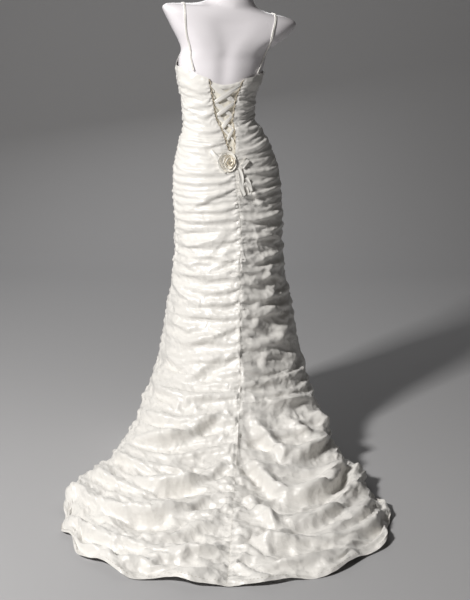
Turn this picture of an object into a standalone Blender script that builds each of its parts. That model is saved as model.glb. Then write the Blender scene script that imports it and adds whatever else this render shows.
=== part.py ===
"""Ruched fit-and-flare wedding dress with a train, worn by a limbless dress form on a stand.

A Blender 4.5 script, in metres with +Z up.  The origin is the centre of the underside of the
stand's foot, on the floor.  The gown faces -Y, its train lies towards +Y, and +X is the wearer's
left.  The form stands with its upper body turned a little to its left, so the bodice's sections
carry a turn about +Z that fades out towards the hem.

The gown is described by two coordinates.  "angle" runs round it in degrees: 0 is the centre back,
90 the left side seam, 180 the centre front and -90 the right side seam.  "down" is the distance
down the centre back from the top edge.  Above SPREAD_HEIGHT the gown follows horizontal sections
of the body; below it each line runs on from there to the outline of the hem on the floor.
"""

import math
from typing import Callable, NamedTuple, Sequence

import bmesh
import bpy
from mathutils import Matrix, Vector
from mathutils.bvhtree import BVHTree

# ---- Driving dimensions (metres) --------------------------------------------------------------

WALL = 0.0022               # cloth wall of the gown
TRIM_WALL = 0.0011          # satin ribbon and the panel behind the lacing
SEAM_GAP = 0.0003           # clearance between pieces that are sewn or lie together
BACK_TOP = 1.230            # height of the top edge at the centre back
SPREAD_HEIGHT = 0.300       # height at which the skirt starts to spread to its hem
SPREAD_LENGTH = 0.850       # length of the spreading part along the centre back
FULL_LENGTH = BACK_TOP - SPREAD_HEIGHT + SPREAD_LENGTH
LACING_FOOT = 0.240         # the opening in the back ends this far down
FORM_INSET = 0.0052         # form's surface below the gown's base surface
FORM_BOTTOM = 0.740         # height of the form's lower end
MODESTY_DEPTH = 0.0012      # panel behind the lacing, below the backs' inner face
POLE_RADIUS = 0.0125
FOOT_RADIUS = 0.150
FOOT_THICKNESS = 0.012
HEM_WAVE = 0.016            # height of the waves in the hem of the train
HEM_WAVE_SPAN = 18.0        # degrees round the hem from one wave to the next
BUST_ANGLE = 138.0          # degrees round to the highest point of the front's top edge

BACK_COLUMNS = 10           # strips of the wall across each back panel
FRONT_COLUMNS = 9           # strips across the front panel
FORM_COLUMNS = 30


# ---- Tables -----------------------------------------------------------------------------------

class Section(NamedTuple):
    """Horizontal section of the gown: an ellipse with its own depth in front and behind."""
    height: float
    half_width: float
    back: float
    front: float
    centre_x: float
    turn: float             # degrees about +Z


SECTIONS = (
    Section(1.350, 0.1410, 0.078, 0.100, 0.016, 15),
    Section(1.300, 0.1480, 0.082, 0.114, 0.020, 15),
    Section(1.235, 0.1370, 0.086, 0.124, 0.028, 15),
    Section(1.170, 0.1190, 0.081, 0.100, 0.034, 15),
    Section(1.110, 0.1160, 0.078, 0.088, 0.033, 15),
    Section(1.072, 0.1300, 0.084, 0.094, 0.022, 15),
    Section(1.037, 0.1470, 0.092, 0.100, 0.018, 15),
    Section(1.004, 0.1570, 0.098, 0.104, 0.014, 15),
    Section(0.940, 0.1740, 0.112, 0.111, 0.009, 15),
    Section(0.873, 0.1780, 0.124, 0.116, 0.006, 15),
    Section(0.771, 0.1800, 0.132, 0.122, 0.000, 15),
    Section(0.703, 0.1780, 0.138, 0.122, 0.002, 14),
    Section(0.634, 0.1830, 0.148, 0.126, 0.002, 12),
    Section(0.563, 0.1930, 0.158, 0.134, 0.001, 11),
    Section(0.493, 0.2070, 0.172, 0.145, 0.000, 10),
    Section(0.421, 0.2200, 0.192, 0.160, 0.000, 9),
    Section(0.350, 0.2320, 0.220, 0.178, 0.000, 8),
    Section(SPREAD_HEIGHT, 0.2420, 0.245, 0.192, 0.000, 8),
)


class HemPoint(NamedTuple):
    """Outline of the hem on the floor; left and right are distances from the centre line."""
    angle: float
    left: float
    right: float
    y: float


HEM = (
    HemPoint(0.0, 0.000, 0.000, 1.000),
    HemPoint(15.0, 0.195, 0.185, 0.978),
    HemPoint(30.0, 0.345, 0.330, 0.895),
    HemPoint(45.0, 0.445, 0.440, 0.765),
    HemPoint(60.0, 0.482, 0.465, 0.610),
    HemPoint(75.0, 0.445, 0.410, 0.455),
    HemPoint(90.0, 0.375, 0.360, 0.295),
    HemPoint(112.5, 0.342, 0.335, 0.105),
    HemPoint(135.0, 0.282, 0.278, -0.080),
    HemPoint(157.5, 0.160, 0.160, -0.225),
    HemPoint(180.0, 0.000, 0.000, -0.285),
)


class SpreadStation(NamedTuple):
    """Profile of the spreading skirt: the share of the way out to the hem, and the height."""
    share: float            # share of the spreading length
    back_out: float
    back_height: float
    side_out: float
    side_height: float
    front_out: float
    front_height: float


SPREAD = (
    SpreadStation(0.00, 0.000, 0.300, 0.00, 0.300, 0.00, 0.300),
    SpreadStation(0.15, 0.073, 0.214, 0.20, 0.220, 0.26, 0.232),
    SpreadStation(0.30, 0.215, 0.122, 0.38, 0.148, 0.47, 0.170),
    SpreadStation(0.45, 0.400, 0.062, 0.54, 0.092, 0.66, 0.112),
    SpreadStation(0.70, 0.690, 0.024, 0.78, 0.036, 0.87, 0.048),
    SpreadStation(1.00, 1.000, 0.002, 1.00, 0.001, 1.00, 0.000),
)


class Rise(NamedTuple):
    """How far a fold that starts at the centre back climbs on its way round the gown."""
    down: float
    left: float             # at the left side seam
    right: float            # at the right side seam
    bust: float             # in front, below each strap
    front: float            # at the centre front


RISES = (
    Rise(0.00, 0.046, 0.034, 0.104, 0.084),
    Rise(0.12, 0.036, 0.042, 0.052, 0.046),
    Rise(0.20, 0.024, 0.050, 0.022, 0.020),
    Rise(0.30, 0.008, 0.036, 0.004, 0.004),
    Rise(0.45, -0.006, 0.012, 0.000, 0.000),
    Rise(0.65, 0.000, 0.000, 0.000, 0.000),
    Rise(1.78, 0.000, 0.000, 0.000, 0.000),
)


class FoldZone(NamedTuple):
    """A stretch of the gown's length whose gathers share one scale."""
    end: float              # distance down the centre back at which it ends
    folds: int
    height: float           # of a crest over its valleys
    follow: float           # 1 where the inner face follows the folds, 0 where it is plain


FOLD_ZONES = (
    FoldZone(0.31, 18, 0.0026, 0.0),
    FoldZone(0.68, 10, 0.0070, 1.0),
    FoldZone(1.04, 7, 0.0115, 1.0),
    FoldZone(FULL_LENGTH, 9, 0.0170, 1.0),
)


class OpeningWidth(NamedTuple):
    """Half the width of the laced opening in the back."""
    down: float
    half_width: float


OPENING = (
    OpeningWidth(0.000, 0.0575),
    OpeningWidth(0.060, 0.0400),
    OpeningWidth(0.105, 0.0320),
    OpeningWidth(0.150, 0.0235),
    OpeningWidth(0.205, 0.0140),
    OpeningWidth(LACING_FOOT, 0.0040),
)


class FormRing(NamedTuple):
    """Section of the form above the gown; square is the exponent of its superellipse."""
    height: float
    half_width: float
    back: float
    front: float
    centre_x: float
    square: float


FORM_RINGS = (
    FormRing(1.320, 0.1420, 0.0780, 0.0900, 0.014, 2.0),
    FormRing(1.345, 0.1550, 0.0780, 0.0840, 0.010, 2.2),
    FormRing(1.370, 0.1780, 0.0760, 0.0780, 0.003, 2.5),
    FormRing(1.395, 0.1980, 0.0730, 0.0710, -0.002, 2.7),
    FormRing(1.415, 0.2115, 0.0690, 0.0650, -0.004, 2.8),
    FormRing(1.428, 0.2180, 0.0650, 0.0610, -0.005, 2.6),
    FormRing(1.438, 0.2140, 0.0620, 0.0580, -0.004, 2.2),
    FormRing(1.445, 0.1990, 0.0595, 0.0560, -0.003, 1.9),
    FormRing(1.4495, 0.1660, 0.0580, 0.0550, -0.002, 1.7),
    FormRing(1.4545, 0.1250, 0.0565, 0.0540, -0.004, 1.6),
    FormRing(1.462, 0.0950, 0.0550, 0.0530, -0.006, 1.7),
    FormRing(1.473, 0.0780, 0.0540, 0.0520, -0.008, 1.9),
    FormRing(1.492, 0.0670, 0.0530, 0.0510, -0.009, 2.0),
    FormRing(1.520, 0.0620, 0.0520, 0.0505, -0.010, 2.0),
    FormRing(1.552, 0.0600, 0.0515, 0.0500, -0.010, 2.0),
    FormRing(1.568, 0.0580, 0.0495, 0.0480, -0.010, 2.0),
    FormRing(1.576, 0.0500, 0.0420, 0.0405, -0.010, 2.0),
)
FORM_SECTION_HEIGHTS = (FORM_BOTTOM, 0.82, 0.89, 0.95, 1.005, 1.04, 1.06, 1.077, 1.093, 1.11,
                        1.13, 1.155, 1.19, 1.23, 1.265, 1.295)
SHOULDER_TILT = 0.108       # rise per metre towards the wearer's left at the shoulders
TILT_START = 1.24           # height at which the tilt begins
TILT_FULL = 1.41            # height at which it is complete


class StrapPoint(NamedTuple):
    """Guide point of a strap, before it is laid on the form's surface."""
    x: float
    y: float
    height: float


STRAP_GUIDES = {
    "strap_left": (
        StrapPoint(0.1108, 0.0873, 1.2583),
        StrapPoint(0.1195, 0.0850, 1.2870),
        StrapPoint(0.1262, 0.0850, 1.3200),
        StrapPoint(0.1315, 0.0880, 1.3620),
        StrapPoint(0.1340, 0.0960, 1.4130),
        StrapPoint(0.1352, 0.0900, 1.4480),
        StrapPoint(0.1390, 0.0640, 1.4750),
        StrapPoint(0.1455, 0.0340, 1.4855),
        StrapPoint(0.1519, -0.0028, 1.4664),
        StrapPoint(0.1490, -0.0305, 1.4241),
        StrapPoint(0.1395, -0.0545, 1.3772),
        StrapPoint(0.1331, -0.0653, 1.3509),
    ),
    "strap_right": (
        StrapPoint(-0.0920, 0.0290, 1.2525),
        StrapPoint(-0.0985, 0.0180, 1.2660),
        StrapPoint(-0.1095, 0.0060, 1.2900),
        StrapPoint(-0.1215, 0.0100, 1.3230),
        StrapPoint(-0.1340, 0.0290, 1.3630),
        StrapPoint(-0.1450, 0.0280, 1.3990),
        StrapPoint(-0.1495, 0.0150, 1.4230),
        StrapPoint(-0.1500, -0.0100, 1.4480),
        StrapPoint(-0.1439, -0.0386, 1.4545),
        StrapPoint(-0.1302, -0.0784, 1.4359),
        StrapPoint(-0.1138, -0.1009, 1.3957),
        StrapPoint(-0.0884, -0.1155, 1.3569),
        StrapPoint(-0.0717, -0.1202, 1.3366),
    ),
}
STRAP_WIDTH = 0.0062
STRAP_THICKNESS = 0.0014
STRAP_ROWS = 36
STRAP_CLEAR = 0.0013        # clearance over the form's rounded shoulder
STRAP_EASE = 0.030          # length over which a strap's end lifts to the bodice's edge


class LacePoint(NamedTuple):
    """Turning point of the lacing."""
    side: int               # 1 at the wearer's left edge, -1 at the right
    down: float


LACE_STRANDS = (
    (LacePoint(-1, 0.018), LacePoint(1, 0.071), LacePoint(-1, 0.112), LacePoint(1, 0.150),
     LacePoint(-1, 0.190)),
    (LacePoint(1, 0.018), LacePoint(-1, 0.069), LacePoint(1, 0.110), LacePoint(-1, 0.152),
     LacePoint(1, 0.188)),
)
LACE_DEPTH_TOP = 0.0150     # height of the ribbon's band where it turns, at the top
LACE_DEPTH_FOOT = 0.0080    # and at the foot of the lacing
LACE_CLEAR = 0.0056         # distance from the turn of the ribbon to the opening's edge
LACE_LOW = -0.0008          # middle of the lower layer, from the gown's base surface
LACE_HIGH = 0.0010          # middle of the upper layer
LACE_THICKNESS = 0.0008

LOOP_RADIUS = 0.0009        # of the cord that makes the loops along the opening
LOOP_COUNT = 9
LOOP_REACH = 0.0014         # how far each loop stands out from the edge

ROSE_ANGLE = 7.0            # place of the flower on the gown
ROSE_DOWN = 0.255
ROSE_TURNS = 5.0
ROSE_RADIUS = 0.027
ROSE_CORE = 0.0035
ROSE_HEIGHT = 0.017
ROSE_STRETCH = 1.22         # taller than wide
ROSE_STEPS = 12             # points in each turn
ROSE_LIFT = 0.0040          # of the flower's underside over the gown's base surface


class BowPoint(NamedTuple):
    """Point on the middle line of one of the bow's ribbons."""
    angle: float
    down: float
    offset: float           # over the gown's base surface


BOW_RIBBONS = {
    "bow_loop_left": (
        BowPoint(18.0, 0.244, 0.0038),
        BowPoint(21.5, 0.235, 0.0044),
        BowPoint(25.5, 0.225, 0.0048),
    ),
    "bow_loop_right": (
        BowPoint(-8.5, 0.268, 0.0045),
        BowPoint(-11.5, 0.260, 0.0051),
        BowPoint(-15.5, 0.251, 0.0055),
    ),
    "bow_tail_long": (
        BowPoint(-5.0, 0.2820, 0.0064),
        BowPoint(-5.4, 0.305, 0.0073),
        BowPoint(-4.4, 0.332, 0.0085),
        BowPoint(-6.4, 0.360, 0.0084),
    ),
    "bow_tail_short": (
        BowPoint(-12.0, 0.310, 0.0066),
        BowPoint(-13.0, 0.330, 0.0075),
        BowPoint(-14.0, 0.350, 0.0080),
    ),
}
BOW_WIDTH = 0.015
BOW_ROWS = 7                # lines across each ribbon
BOW_METRES_PER_DEGREE = 0.002   # scale of an angle against a distance down, at the bow

COLLECTION = "wedding_dress_on_form"
MATERIALS = {
    "taffeta": ((0.86, 0.84, 0.79), 0.38, 0.0),
    "satin_ribbon": ((0.88, 0.85, 0.80), 0.32, 0.0),
    "rose_fabric": ((0.86, 0.80, 0.68), 0.45, 0.0),
    "form_gloss": ((0.86, 0.86, 0.87), 0.18, 0.0),
    "pole_steel": ((0.62, 0.62, 0.63), 0.30, 1.0),
    "foot_paint": ((0.80, 0.80, 0.80), 0.40, 0.0),
}


# ---- Curves through the tables ------------------------------------------------------------------

class Curve:
    """Smooth curve through one column of a table, without overshoot and level past its ends."""

    def __init__(self, table: Sequence[NamedTuple], key: str, column: str) -> None:
        rows = sorted(table, key=lambda row: getattr(row, key))
        self.knots = [getattr(row, key) for row in rows]
        self.values = [getattr(row, column) for row in rows]
        steps = [(self.values[i + 1] - self.values[i]) / (self.knots[i + 1] - self.knots[i])
                 for i in range(len(rows) - 1)]
        self.slopes = [steps[0]]
        for before, after in zip(steps, steps[1:]):
            agree = before * after > 0.0
            self.slopes.append(2.0 * before * after / (before + after) if agree else 0.0)
        self.slopes.append(steps[-1])

    def __call__(self, place: float) -> float:
        place = min(max(place, self.knots[0]), self.knots[-1])
        i = 0
        while i < len(self.knots) - 2 and place > self.knots[i + 1]:
            i += 1
        width = self.knots[i + 1] - self.knots[i]
        t = (place - self.knots[i]) / width
        return ((1 + 2 * t) * (1 - t) ** 2 * self.values[i] + t * (1 - t) ** 2 * width * self.slopes[i]
                + t * t * (3 - 2 * t) * self.values[i + 1] + t * t * (t - 1) * width * self.slopes[i + 1])


half_width_at = Curve(SECTIONS, "height", "half_width")
back_at = Curve(SECTIONS, "height", "back")
front_at = Curve(SECTIONS, "height", "front")
centre_at = Curve(SECTIONS, "height", "centre_x")
turn_at = Curve(SECTIONS, "height", "turn")
hem_left = Curve(HEM, "angle", "left")
hem_right = Curve(HEM, "angle", "right")
hem_y = Curve(HEM, "angle", "y")
spread_out = [Curve(SPREAD, "share", name) for name in ("back_out", "side_out", "front_out")]
spread_height = [Curve(SPREAD, "share", name)
                 for name in ("back_height", "side_height", "front_height")]
rise_left = Curve(RISES, "down", "left")
rise_right = Curve(RISES, "down", "right")
rise_bust = Curve(RISES, "down", "bust")
rise_front = Curve(RISES, "down", "front")
opening_at = Curve(OPENING, "down", "half_width")


def smooth_step(low: float, high: float, value: float) -> float:
    """0 up to low, 1 from high on, and a smooth rise between them."""
    t = min(max((value - low) / (high - low), 0.0), 1.0)
    return t * t * (3.0 - 2.0 * t)


def wrapped(angle: float) -> float:
    """The same direction as an angle from -180 to 180."""
    return (angle + 180.0) % 360.0 - 180.0


def around(angle: float, back: float, side: float, front: float) -> float:
    """Blend of three values round the gown, from the centre back by the side to the front."""
    turn = abs(wrapped(angle))
    if turn <= 90.0:
        return back + (side - back) * smooth_step(0.0, 90.0, turn)
    return side + (front - side) * smooth_step(90.0, 180.0, turn)


# ---- The gown's base surface --------------------------------------------------------------------

def section_point(angle: float, height: float) -> Vector:
    """Point of the gown's horizontal section at a height."""
    direction = math.radians(angle)
    depth = back_at(height) if math.cos(direction) > 0.0 else front_at(height)
    local = Vector((half_width_at(height) * math.sin(direction), depth * math.cos(direction), 0.0))
    local.rotate(Matrix.Rotation(math.radians(turn_at(height)), 3, "Z"))
    return local + Vector((centre_at(height), 0.0, height))


def hem_point(angle: float) -> Vector:
    """Point of the hem's outline on the floor."""
    turn = wrapped(angle)
    x = hem_left(turn) if turn >= 0.0 else -hem_right(-turn)
    return Vector((x, hem_y(abs(turn)), 0.0))


def fold_climb(angle: float, down: float) -> float:
    """Height that a line round the bodice has gained over its place at the centre back."""
    side = rise_left(down) if wrapped(angle) >= 0.0 else rise_right(down)
    turn = abs(wrapped(angle))
    if turn <= 90.0:
        return side * smooth_step(0.0, 90.0, turn)
    if turn <= BUST_ANGLE:
        return side + (rise_bust(down) - side) * smooth_step(90.0, BUST_ANGLE, turn)
    dip = smooth_step(BUST_ANGLE, 180.0, turn)
    return rise_bust(down) + (rise_front(down) - rise_bust(down)) * dip


def gown_point(angle: float, down: float) -> Vector:
    """Point of the gown's base surface."""
    straight = BACK_TOP - SPREAD_HEIGHT
    if down <= straight:
        return section_point(angle, BACK_TOP - down + fold_climb(angle, down))
    share = (down - straight) / SPREAD_LENGTH
    start = section_point(angle, SPREAD_HEIGHT)
    point = start.lerp(hem_point(angle), around(angle, *(curve(share) for curve in spread_out)))
    point.z = around(angle, *(curve(share) for curve in spread_height))
    return point


def gown_normal(angle: float, down: float) -> Vector:
    """Outward normal of the base surface."""
    sideways = gown_point(angle + 0.5, down) - gown_point(angle - 0.5, down)
    upper = max(down - 0.004, 0.0)
    lower = min(down + 0.004, FULL_LENGTH)
    return sideways.cross(gown_point(angle, lower) - gown_point(angle, upper)).normalized()


def along_row(angle: float, down: float) -> Vector:
    """Direction round the gown at a point, towards larger angles."""
    return (gown_point(angle + 0.5, down) - gown_point(angle - 0.5, down)).normalized()


def opening_angle(down: float) -> float:
    """Angle from the centre back to the edge of the laced opening, 0 below its foot."""
    if down >= LACING_FOOT:
        return 0.0
    return math.degrees(math.asin(opening_at(down) / half_width_at(BACK_TOP - down)))


def trim_point(side: float, down: float, offset: float) -> Vector:
    """Point over the opening; side is -1 at its right edge, 0 in the middle and 1 at its left."""
    angle = side * opening_angle(down)
    return gown_point(angle, down) + gown_normal(angle, down) * offset


# ---- Folds --------------------------------------------------------------------------------------

class FoldLine(NamedTuple):
    """One line of the folded wall, a crest or a valley."""
    down: float
    spacing: float
    height: float           # over the base surface, 0 in a valley
    follow: float
    index: int


def fold_lines() -> list[FoldLine]:
    """Crest and valley lines from the top edge to the hem."""
    lines = []
    start = 0.0
    for zone in FOLD_ZONES:
        spacing = (zone.end - start) / zone.folds
        for fold in range(zone.folds):
            index = len(lines)
            valley = start + fold * spacing
            lines.append(FoldLine(valley, spacing, 0.0, zone.follow, index))
            lines.append(FoldLine(valley + 0.5 * spacing, spacing, zone.height, zone.follow, index + 1))
        start = zone.end
    lines.append(FoldLine(FULL_LENGTH, spacing, 0.0, 1.0, len(lines)))
    return lines


def fold_place(line: FoldLine, angle: float) -> float:
    """Distance down of a fold line at an angle: lines wander, but not at the edges."""
    settle = smooth_step(0.0, 0.06, line.down) * smooth_step(FULL_LENGTH, FULL_LENGTH - 0.12, line.down)
    wander = 0.30 * line.spacing * math.sin(math.radians(2.0 * angle) + 0.37 * line.index)
    return line.down + settle * wander


def fold_rise(line: FoldLine, angle: float) -> float:
    """Height of a fold line over the base surface at an angle."""
    uneven = 0.72 + 0.28 * math.sin(math.radians(3.0 * angle) + 1.9 * line.index)
    straight = BACK_TOP - SPREAD_HEIGHT
    spread = smooth_step(straight - 0.05, straight + 0.2, line.down)
    shorter = around(angle, 1.0, 0.62, 0.40)
    return line.height * uneven * (1.0 + (shorter - 1.0) * spread)


def hem_lift(line: FoldLine, angle: float) -> float:
    """Rise of the train's hem where it ripples over the floor."""
    near_hem = smooth_step(FULL_LENGTH - 0.09, FULL_LENGTH, line.down)
    train = 1.0 - smooth_step(70.0, 100.0, abs(wrapped(angle)))
    ripple = math.sin(math.pi * angle / HEM_WAVE_SPAN) ** 2
    return near_hem * train * HEM_WAVE * ripple * (0.75 + 0.25 * math.sin(math.radians(5.0 * angle)))


# ---- Building closed solids -----------------------------------------------------------------------

Grid = list[list[Vector]]


def make_object(name: str, mesh: bpy.types.Mesh, material: str) -> bpy.types.Object:
    """Put a mesh in the part's collection under its node's name, with its material."""
    colour, roughness, metallic = MATERIALS[material]
    finish = bpy.data.materials.get(material)
    if finish is None:
        finish = bpy.data.materials.new(material)
        finish.use_nodes = True
        shader = finish.node_tree.nodes["Principled BSDF"]
        shader.inputs["Base Color"].default_value = (*colour, 1.0)
        shader.inputs["Roughness"].default_value = roughness
        shader.inputs["Metallic"].default_value = metallic
    mesh.materials.append(finish)
    piece = bpy.data.objects.new(name, mesh)
    bpy.data.collections[COLLECTION].objects.link(piece)
    return piece


def wall(name: str, outer: Grid, inner: Grid, material: str) -> bpy.types.Object:
    """Closed wall between two grids of points, seen with rows going down and columns to the left.

    Both faces are split along the same diagonal, so the wall keeps its thickness.
    """
    shape = bmesh.new()
    outside = [[shape.verts.new(point) for point in row] for row in outer]
    inside = [[shape.verts.new(point) for point in row] for row in inner]
    rows = len(outside)
    columns = len(outside[0])
    for r in range(rows - 1):
        for c in range(columns - 1):
            a, b, d, e = outside[r][c], outside[r][c + 1], outside[r + 1][c + 1], outside[r + 1][c]
            shape.faces.new((a, e, d))
            shape.faces.new((a, d, b))
            a, b, d, e = inside[r][c], inside[r][c + 1], inside[r + 1][c + 1], inside[r + 1][c]
            shape.faces.new((a, d, e))
            shape.faces.new((a, b, d))
    rim = [(0, c) for c in range(columns)]
    rim += [(r, columns - 1) for r in range(1, rows)]
    rim += [(rows - 1, c) for c in range(columns - 2, -1, -1)]
    rim += [(r, 0) for r in range(rows - 2, 0, -1)]
    for (r, c), (s, d) in zip(rim, rim[1:] + rim[:1]):
        shape.faces.new((outside[r][c], outside[s][d], inside[s][d], inside[r][c]))
    bmesh.ops.recalc_face_normals(shape, faces=shape.faces)
    mesh = bpy.data.meshes.new(name)
    shape.to_mesh(mesh)
    shape.free()
    mesh.shade_smooth()
    mesh.set_sharp_from_angle(angle=math.radians(50))
    return make_object(name, mesh, material)


def ribbon(name: str, centres: Sequence[Vector], normals: Sequence[Vector],
           across: Sequence[Vector], thickness: float, material: str) -> bpy.types.Object:
    """Flat strip along a path; across is half the strip's width as a vector at each point."""
    half = 0.5 * thickness
    outer = [[centre - side + normal * half, centre + side + normal * half]
             for centre, normal, side in zip(centres, normals, across)]
    inner = [[centre - side - normal * half, centre + side - normal * half]
             for centre, normal, side in zip(centres, normals, across)]
    return wall(name, outer, inner, material)


def smooth_path(points: Sequence[Vector], count: int) -> list[Vector]:
    """Points at even steps along a Catmull-Rom curve through the given ones."""
    ends = [points[0] * 2 - points[1], *points, points[-1] * 2 - points[-2]]
    dense = []
    for a, b, c, d in zip(ends, ends[1:], ends[2:], ends[3:]):
        for step in range(12):
            t = step / 12
            dense.append(0.5 * (2 * b + (c - a) * t + (2 * a - 5 * b + 4 * c - d) * t * t
                                + (3 * b - a - 3 * c + d) * t ** 3))
    dense.append(points[-1].copy())
    lengths = [0.0]
    for a, b in zip(dense, dense[1:]):
        lengths.append(lengths[-1] + (b - a).length)
    path = []
    i = 0
    for step in range(count):
        target = lengths[-1] * step / (count - 1)
        while i < len(lengths) - 2 and lengths[i + 1] < target:
            i += 1
        share = (target - lengths[i]) / (lengths[i + 1] - lengths[i])
        path.append(dense[i].lerp(dense[i + 1], min(share, 1.0)))
    return path


# ---- Gown panels ----------------------------------------------------------------------------------

def panel(name: str, first: Callable[[float], float], last: Callable[[float], float],
          columns: int) -> bpy.types.Object:
    """One panel of the gown, from its top edge to its hem, between two lines down the gown.

    Args:
        name: The node's name.
        first: The angle of its first edge at a distance down.
        last: The angle of its last edge there.
        columns: Strips across it.
    """
    outer = []
    inner = []
    for line in fold_lines():
        start = first(fold_place(line, first(line.down)))
        end = last(fold_place(line, last(line.down)))
        outer_row = []
        inner_row = []
        for column in range(columns + 1):
            angle = start + (end - start) * column / columns
            down = fold_place(line, angle)
            rise = fold_rise(line, angle)
            normal = gown_normal(angle, down)
            base = gown_point(angle, down)
            base.z += hem_lift(line, angle)
            outside = base + normal * (0.5 * WALL + rise)
            inside = base + normal * (line.follow * rise - 0.5 * WALL)
            inside.z = max(inside.z, 0.0)
            outside.z = max(outside.z, inside.z + WALL * max(normal.z, 0.0))
            outer_row.append(outside)
            inner_row.append(inside)
        first_shift = along_row(start, line.down) * 0.5 * SEAM_GAP
        last_shift = along_row(end, line.down) * 0.5 * SEAM_GAP
        for row in (outer_row, inner_row):
            row[0] += first_shift
            row[-1] -= last_shift
        outer.append(outer_row)
        inner.append(inner_row)
    return wall(name, outer, inner, "taffeta")


def build_panels() -> None:
    """The front and the two backs."""
    panel("back_left", opening_angle, lambda down: 90.0, BACK_COLUMNS)
    panel("front", lambda down: 90.0, lambda down: 270.0, FRONT_COLUMNS)
    panel("back_right", lambda down: -90.0, lambda down: -opening_angle(down), BACK_COLUMNS)


# ---- Dress form and stand ---------------------------------------------------------------------------

def form_ring(ring: FormRing) -> list[Vector]:
    """Points of one section of the form above the gown."""
    points = []
    turn = Matrix.Rotation(math.radians(SECTIONS[0].turn), 3, "Z")
    tilt = SHOULDER_TILT * smooth_step(TILT_START, TILT_FULL, ring.height)
    for step in range(FORM_COLUMNS):
        direction = math.radians(360.0 * step / FORM_COLUMNS)
        sine = math.sin(direction)
        cosine = math.cos(direction)
        depth = ring.back if cosine > 0.0 else ring.front
        local = Vector((ring.half_width * math.copysign(abs(sine) ** (2.0 / ring.square), sine),
                        depth * math.copysign(abs(cosine) ** (2.0 / ring.square), cosine), 0.0))
        local.rotate(turn)
        points.append(local + Vector((ring.centre_x, 0.0, ring.height + tilt * local.x)))
    return points


def form_section(height: float) -> list[Vector]:
    """Points of one section of the form inside the gown."""
    points = []
    for step in range(FORM_COLUMNS):
        angle = 360.0 * step / FORM_COLUMNS
        outward = section_point(angle + 0.5, height) - section_point(angle - 0.5, height)
        normal = outward.cross(Vector((0.0, 0.0, -1.0))).normalized()
        points.append(section_point(angle, height) - normal * FORM_INSET)
    return points


def build_form() -> bpy.types.Object:
    """Torso with plain shoulder ends and a neck, closed at both ends."""
    rings = [form_section(height) for height in FORM_SECTION_HEIGHTS]
    rings += [form_ring(ring) for ring in FORM_RINGS]
    shape = bmesh.new()
    loops = [[shape.verts.new(point) for point in ring] for ring in rings]
    for lower, upper in zip(loops, loops[1:]):
        for step in range(FORM_COLUMNS):
            after = (step + 1) % FORM_COLUMNS
            shape.faces.new((lower[step], upper[step], upper[after], lower[after]))
    shape.faces.new(loops[0])
    shape.faces.new(loops[-1])
    bmesh.ops.recalc_face_normals(shape, faces=shape.faces)
    mesh = bpy.data.meshes.new("form_torso")
    shape.to_mesh(mesh)
    shape.free()
    mesh.shade_smooth()
    mesh.set_sharp_from_angle(angle=math.radians(50))
    return make_object("form_torso", mesh, "form_gloss")


def take_over(name: str, material: str) -> bpy.types.Object:
    """Name the primitive just added, and move it to the part's collection."""
    piece = bpy.context.object
    mesh = piece.data
    matrix = piece.matrix_world.copy()
    bpy.data.objects.remove(piece)
    mesh.transform(matrix)
    mesh.name = name
    mesh.shade_smooth()
    mesh.set_sharp_from_angle(angle=math.radians(40))
    return make_object(name, mesh, material)


def build_stand() -> None:
    """Pole from the foot to the form, and the round foot, which rests on the floor."""
    pole_start = FOOT_THICKNESS + SEAM_GAP
    pole_end = FORM_BOTTOM - SEAM_GAP
    bpy.ops.mesh.primitive_cylinder_add(vertices=24, radius=POLE_RADIUS, depth=pole_end - pole_start,
                                        location=(0.0, 0.0, 0.5 * (pole_start + pole_end)))
    take_over("form_pole", "pole_steel")
    bpy.ops.mesh.primitive_cylinder_add(vertices=40, radius=FOOT_RADIUS, depth=FOOT_THICKNESS,
                                        location=(0.0, 0.0, 0.5 * FOOT_THICKNESS))
    foot = take_over("form_foot", "foot_paint")
    edge = foot.modifiers.new("edge", "BEVEL")
    edge.width = 0.003
    edge.segments = 1
    edge.limit_method = "ANGLE"


# ---- Straps, lacing and flower ------------------------------------------------------------------------

def build_straps(torso: bpy.types.Object) -> None:
    """Thin straps laid over the form's shoulders, from the backs' top edge to the front's."""
    bpy.context.view_layer.update()
    surface = BVHTree.FromObject(torso, bpy.context.evaluated_depsgraph_get())
    for name, guide in STRAP_GUIDES.items():
        path = smooth_path([Vector(point) for point in guide], STRAP_ROWS)
        length = sum((b - a).length for a, b in zip(path, path[1:]))
        centres = []
        normals = []
        for step, point in enumerate(path):
            place, normal, _, _ = surface.find_nearest(point)
            run = length * step / (STRAP_ROWS - 1)
            from_end = min(run, length - run)
            lift = FORM_INSET * (1.0 - smooth_step(0.0, STRAP_EASE, from_end))
            centres.append(place + normal * (STRAP_CLEAR + 0.5 * STRAP_THICKNESS + lift))
            normals.append(normal)
        across = []
        for step, normal in enumerate(normals):
            along = centres[min(step + 1, STRAP_ROWS - 1)] - centres[max(step - 1, 0)]
            across.append(along.cross(normal).normalized() * 0.5 * STRAP_WIDTH)
        ribbon(name, centres, normals, across, STRAP_THICKNESS, "satin_ribbon")


def build_modesty_panel() -> None:
    """Satin panel behind the lacing, tucked under both backs; its top edge sags in the middle."""
    sag = 0.012
    tuck = 0.011
    rows = 17
    columns = 8
    outer = []
    inner = []
    for row in range(rows):
        outer_row = []
        inner_row = []
        for column in range(columns + 1):
            side = 2.0 * column / columns - 1.0
            top = 0.002 + sag * (1.0 - side * side)
            down = top + (LACING_FOOT - 0.006 - top) * row / (rows - 1)
            angle = side * (opening_angle(down) + math.degrees(tuck / half_width_at(BACK_TOP - down)))
            normal = gown_normal(angle, down)
            base = gown_point(angle, down)
            outer_row.append(base - normal * (0.5 * WALL + MODESTY_DEPTH))
            inner_row.append(base - normal * (0.5 * WALL + MODESTY_DEPTH + TRIM_WALL))
        outer.append(outer_row)
        inner.append(inner_row)
    wall("modesty_panel", outer, inner, "satin_ribbon")


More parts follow.
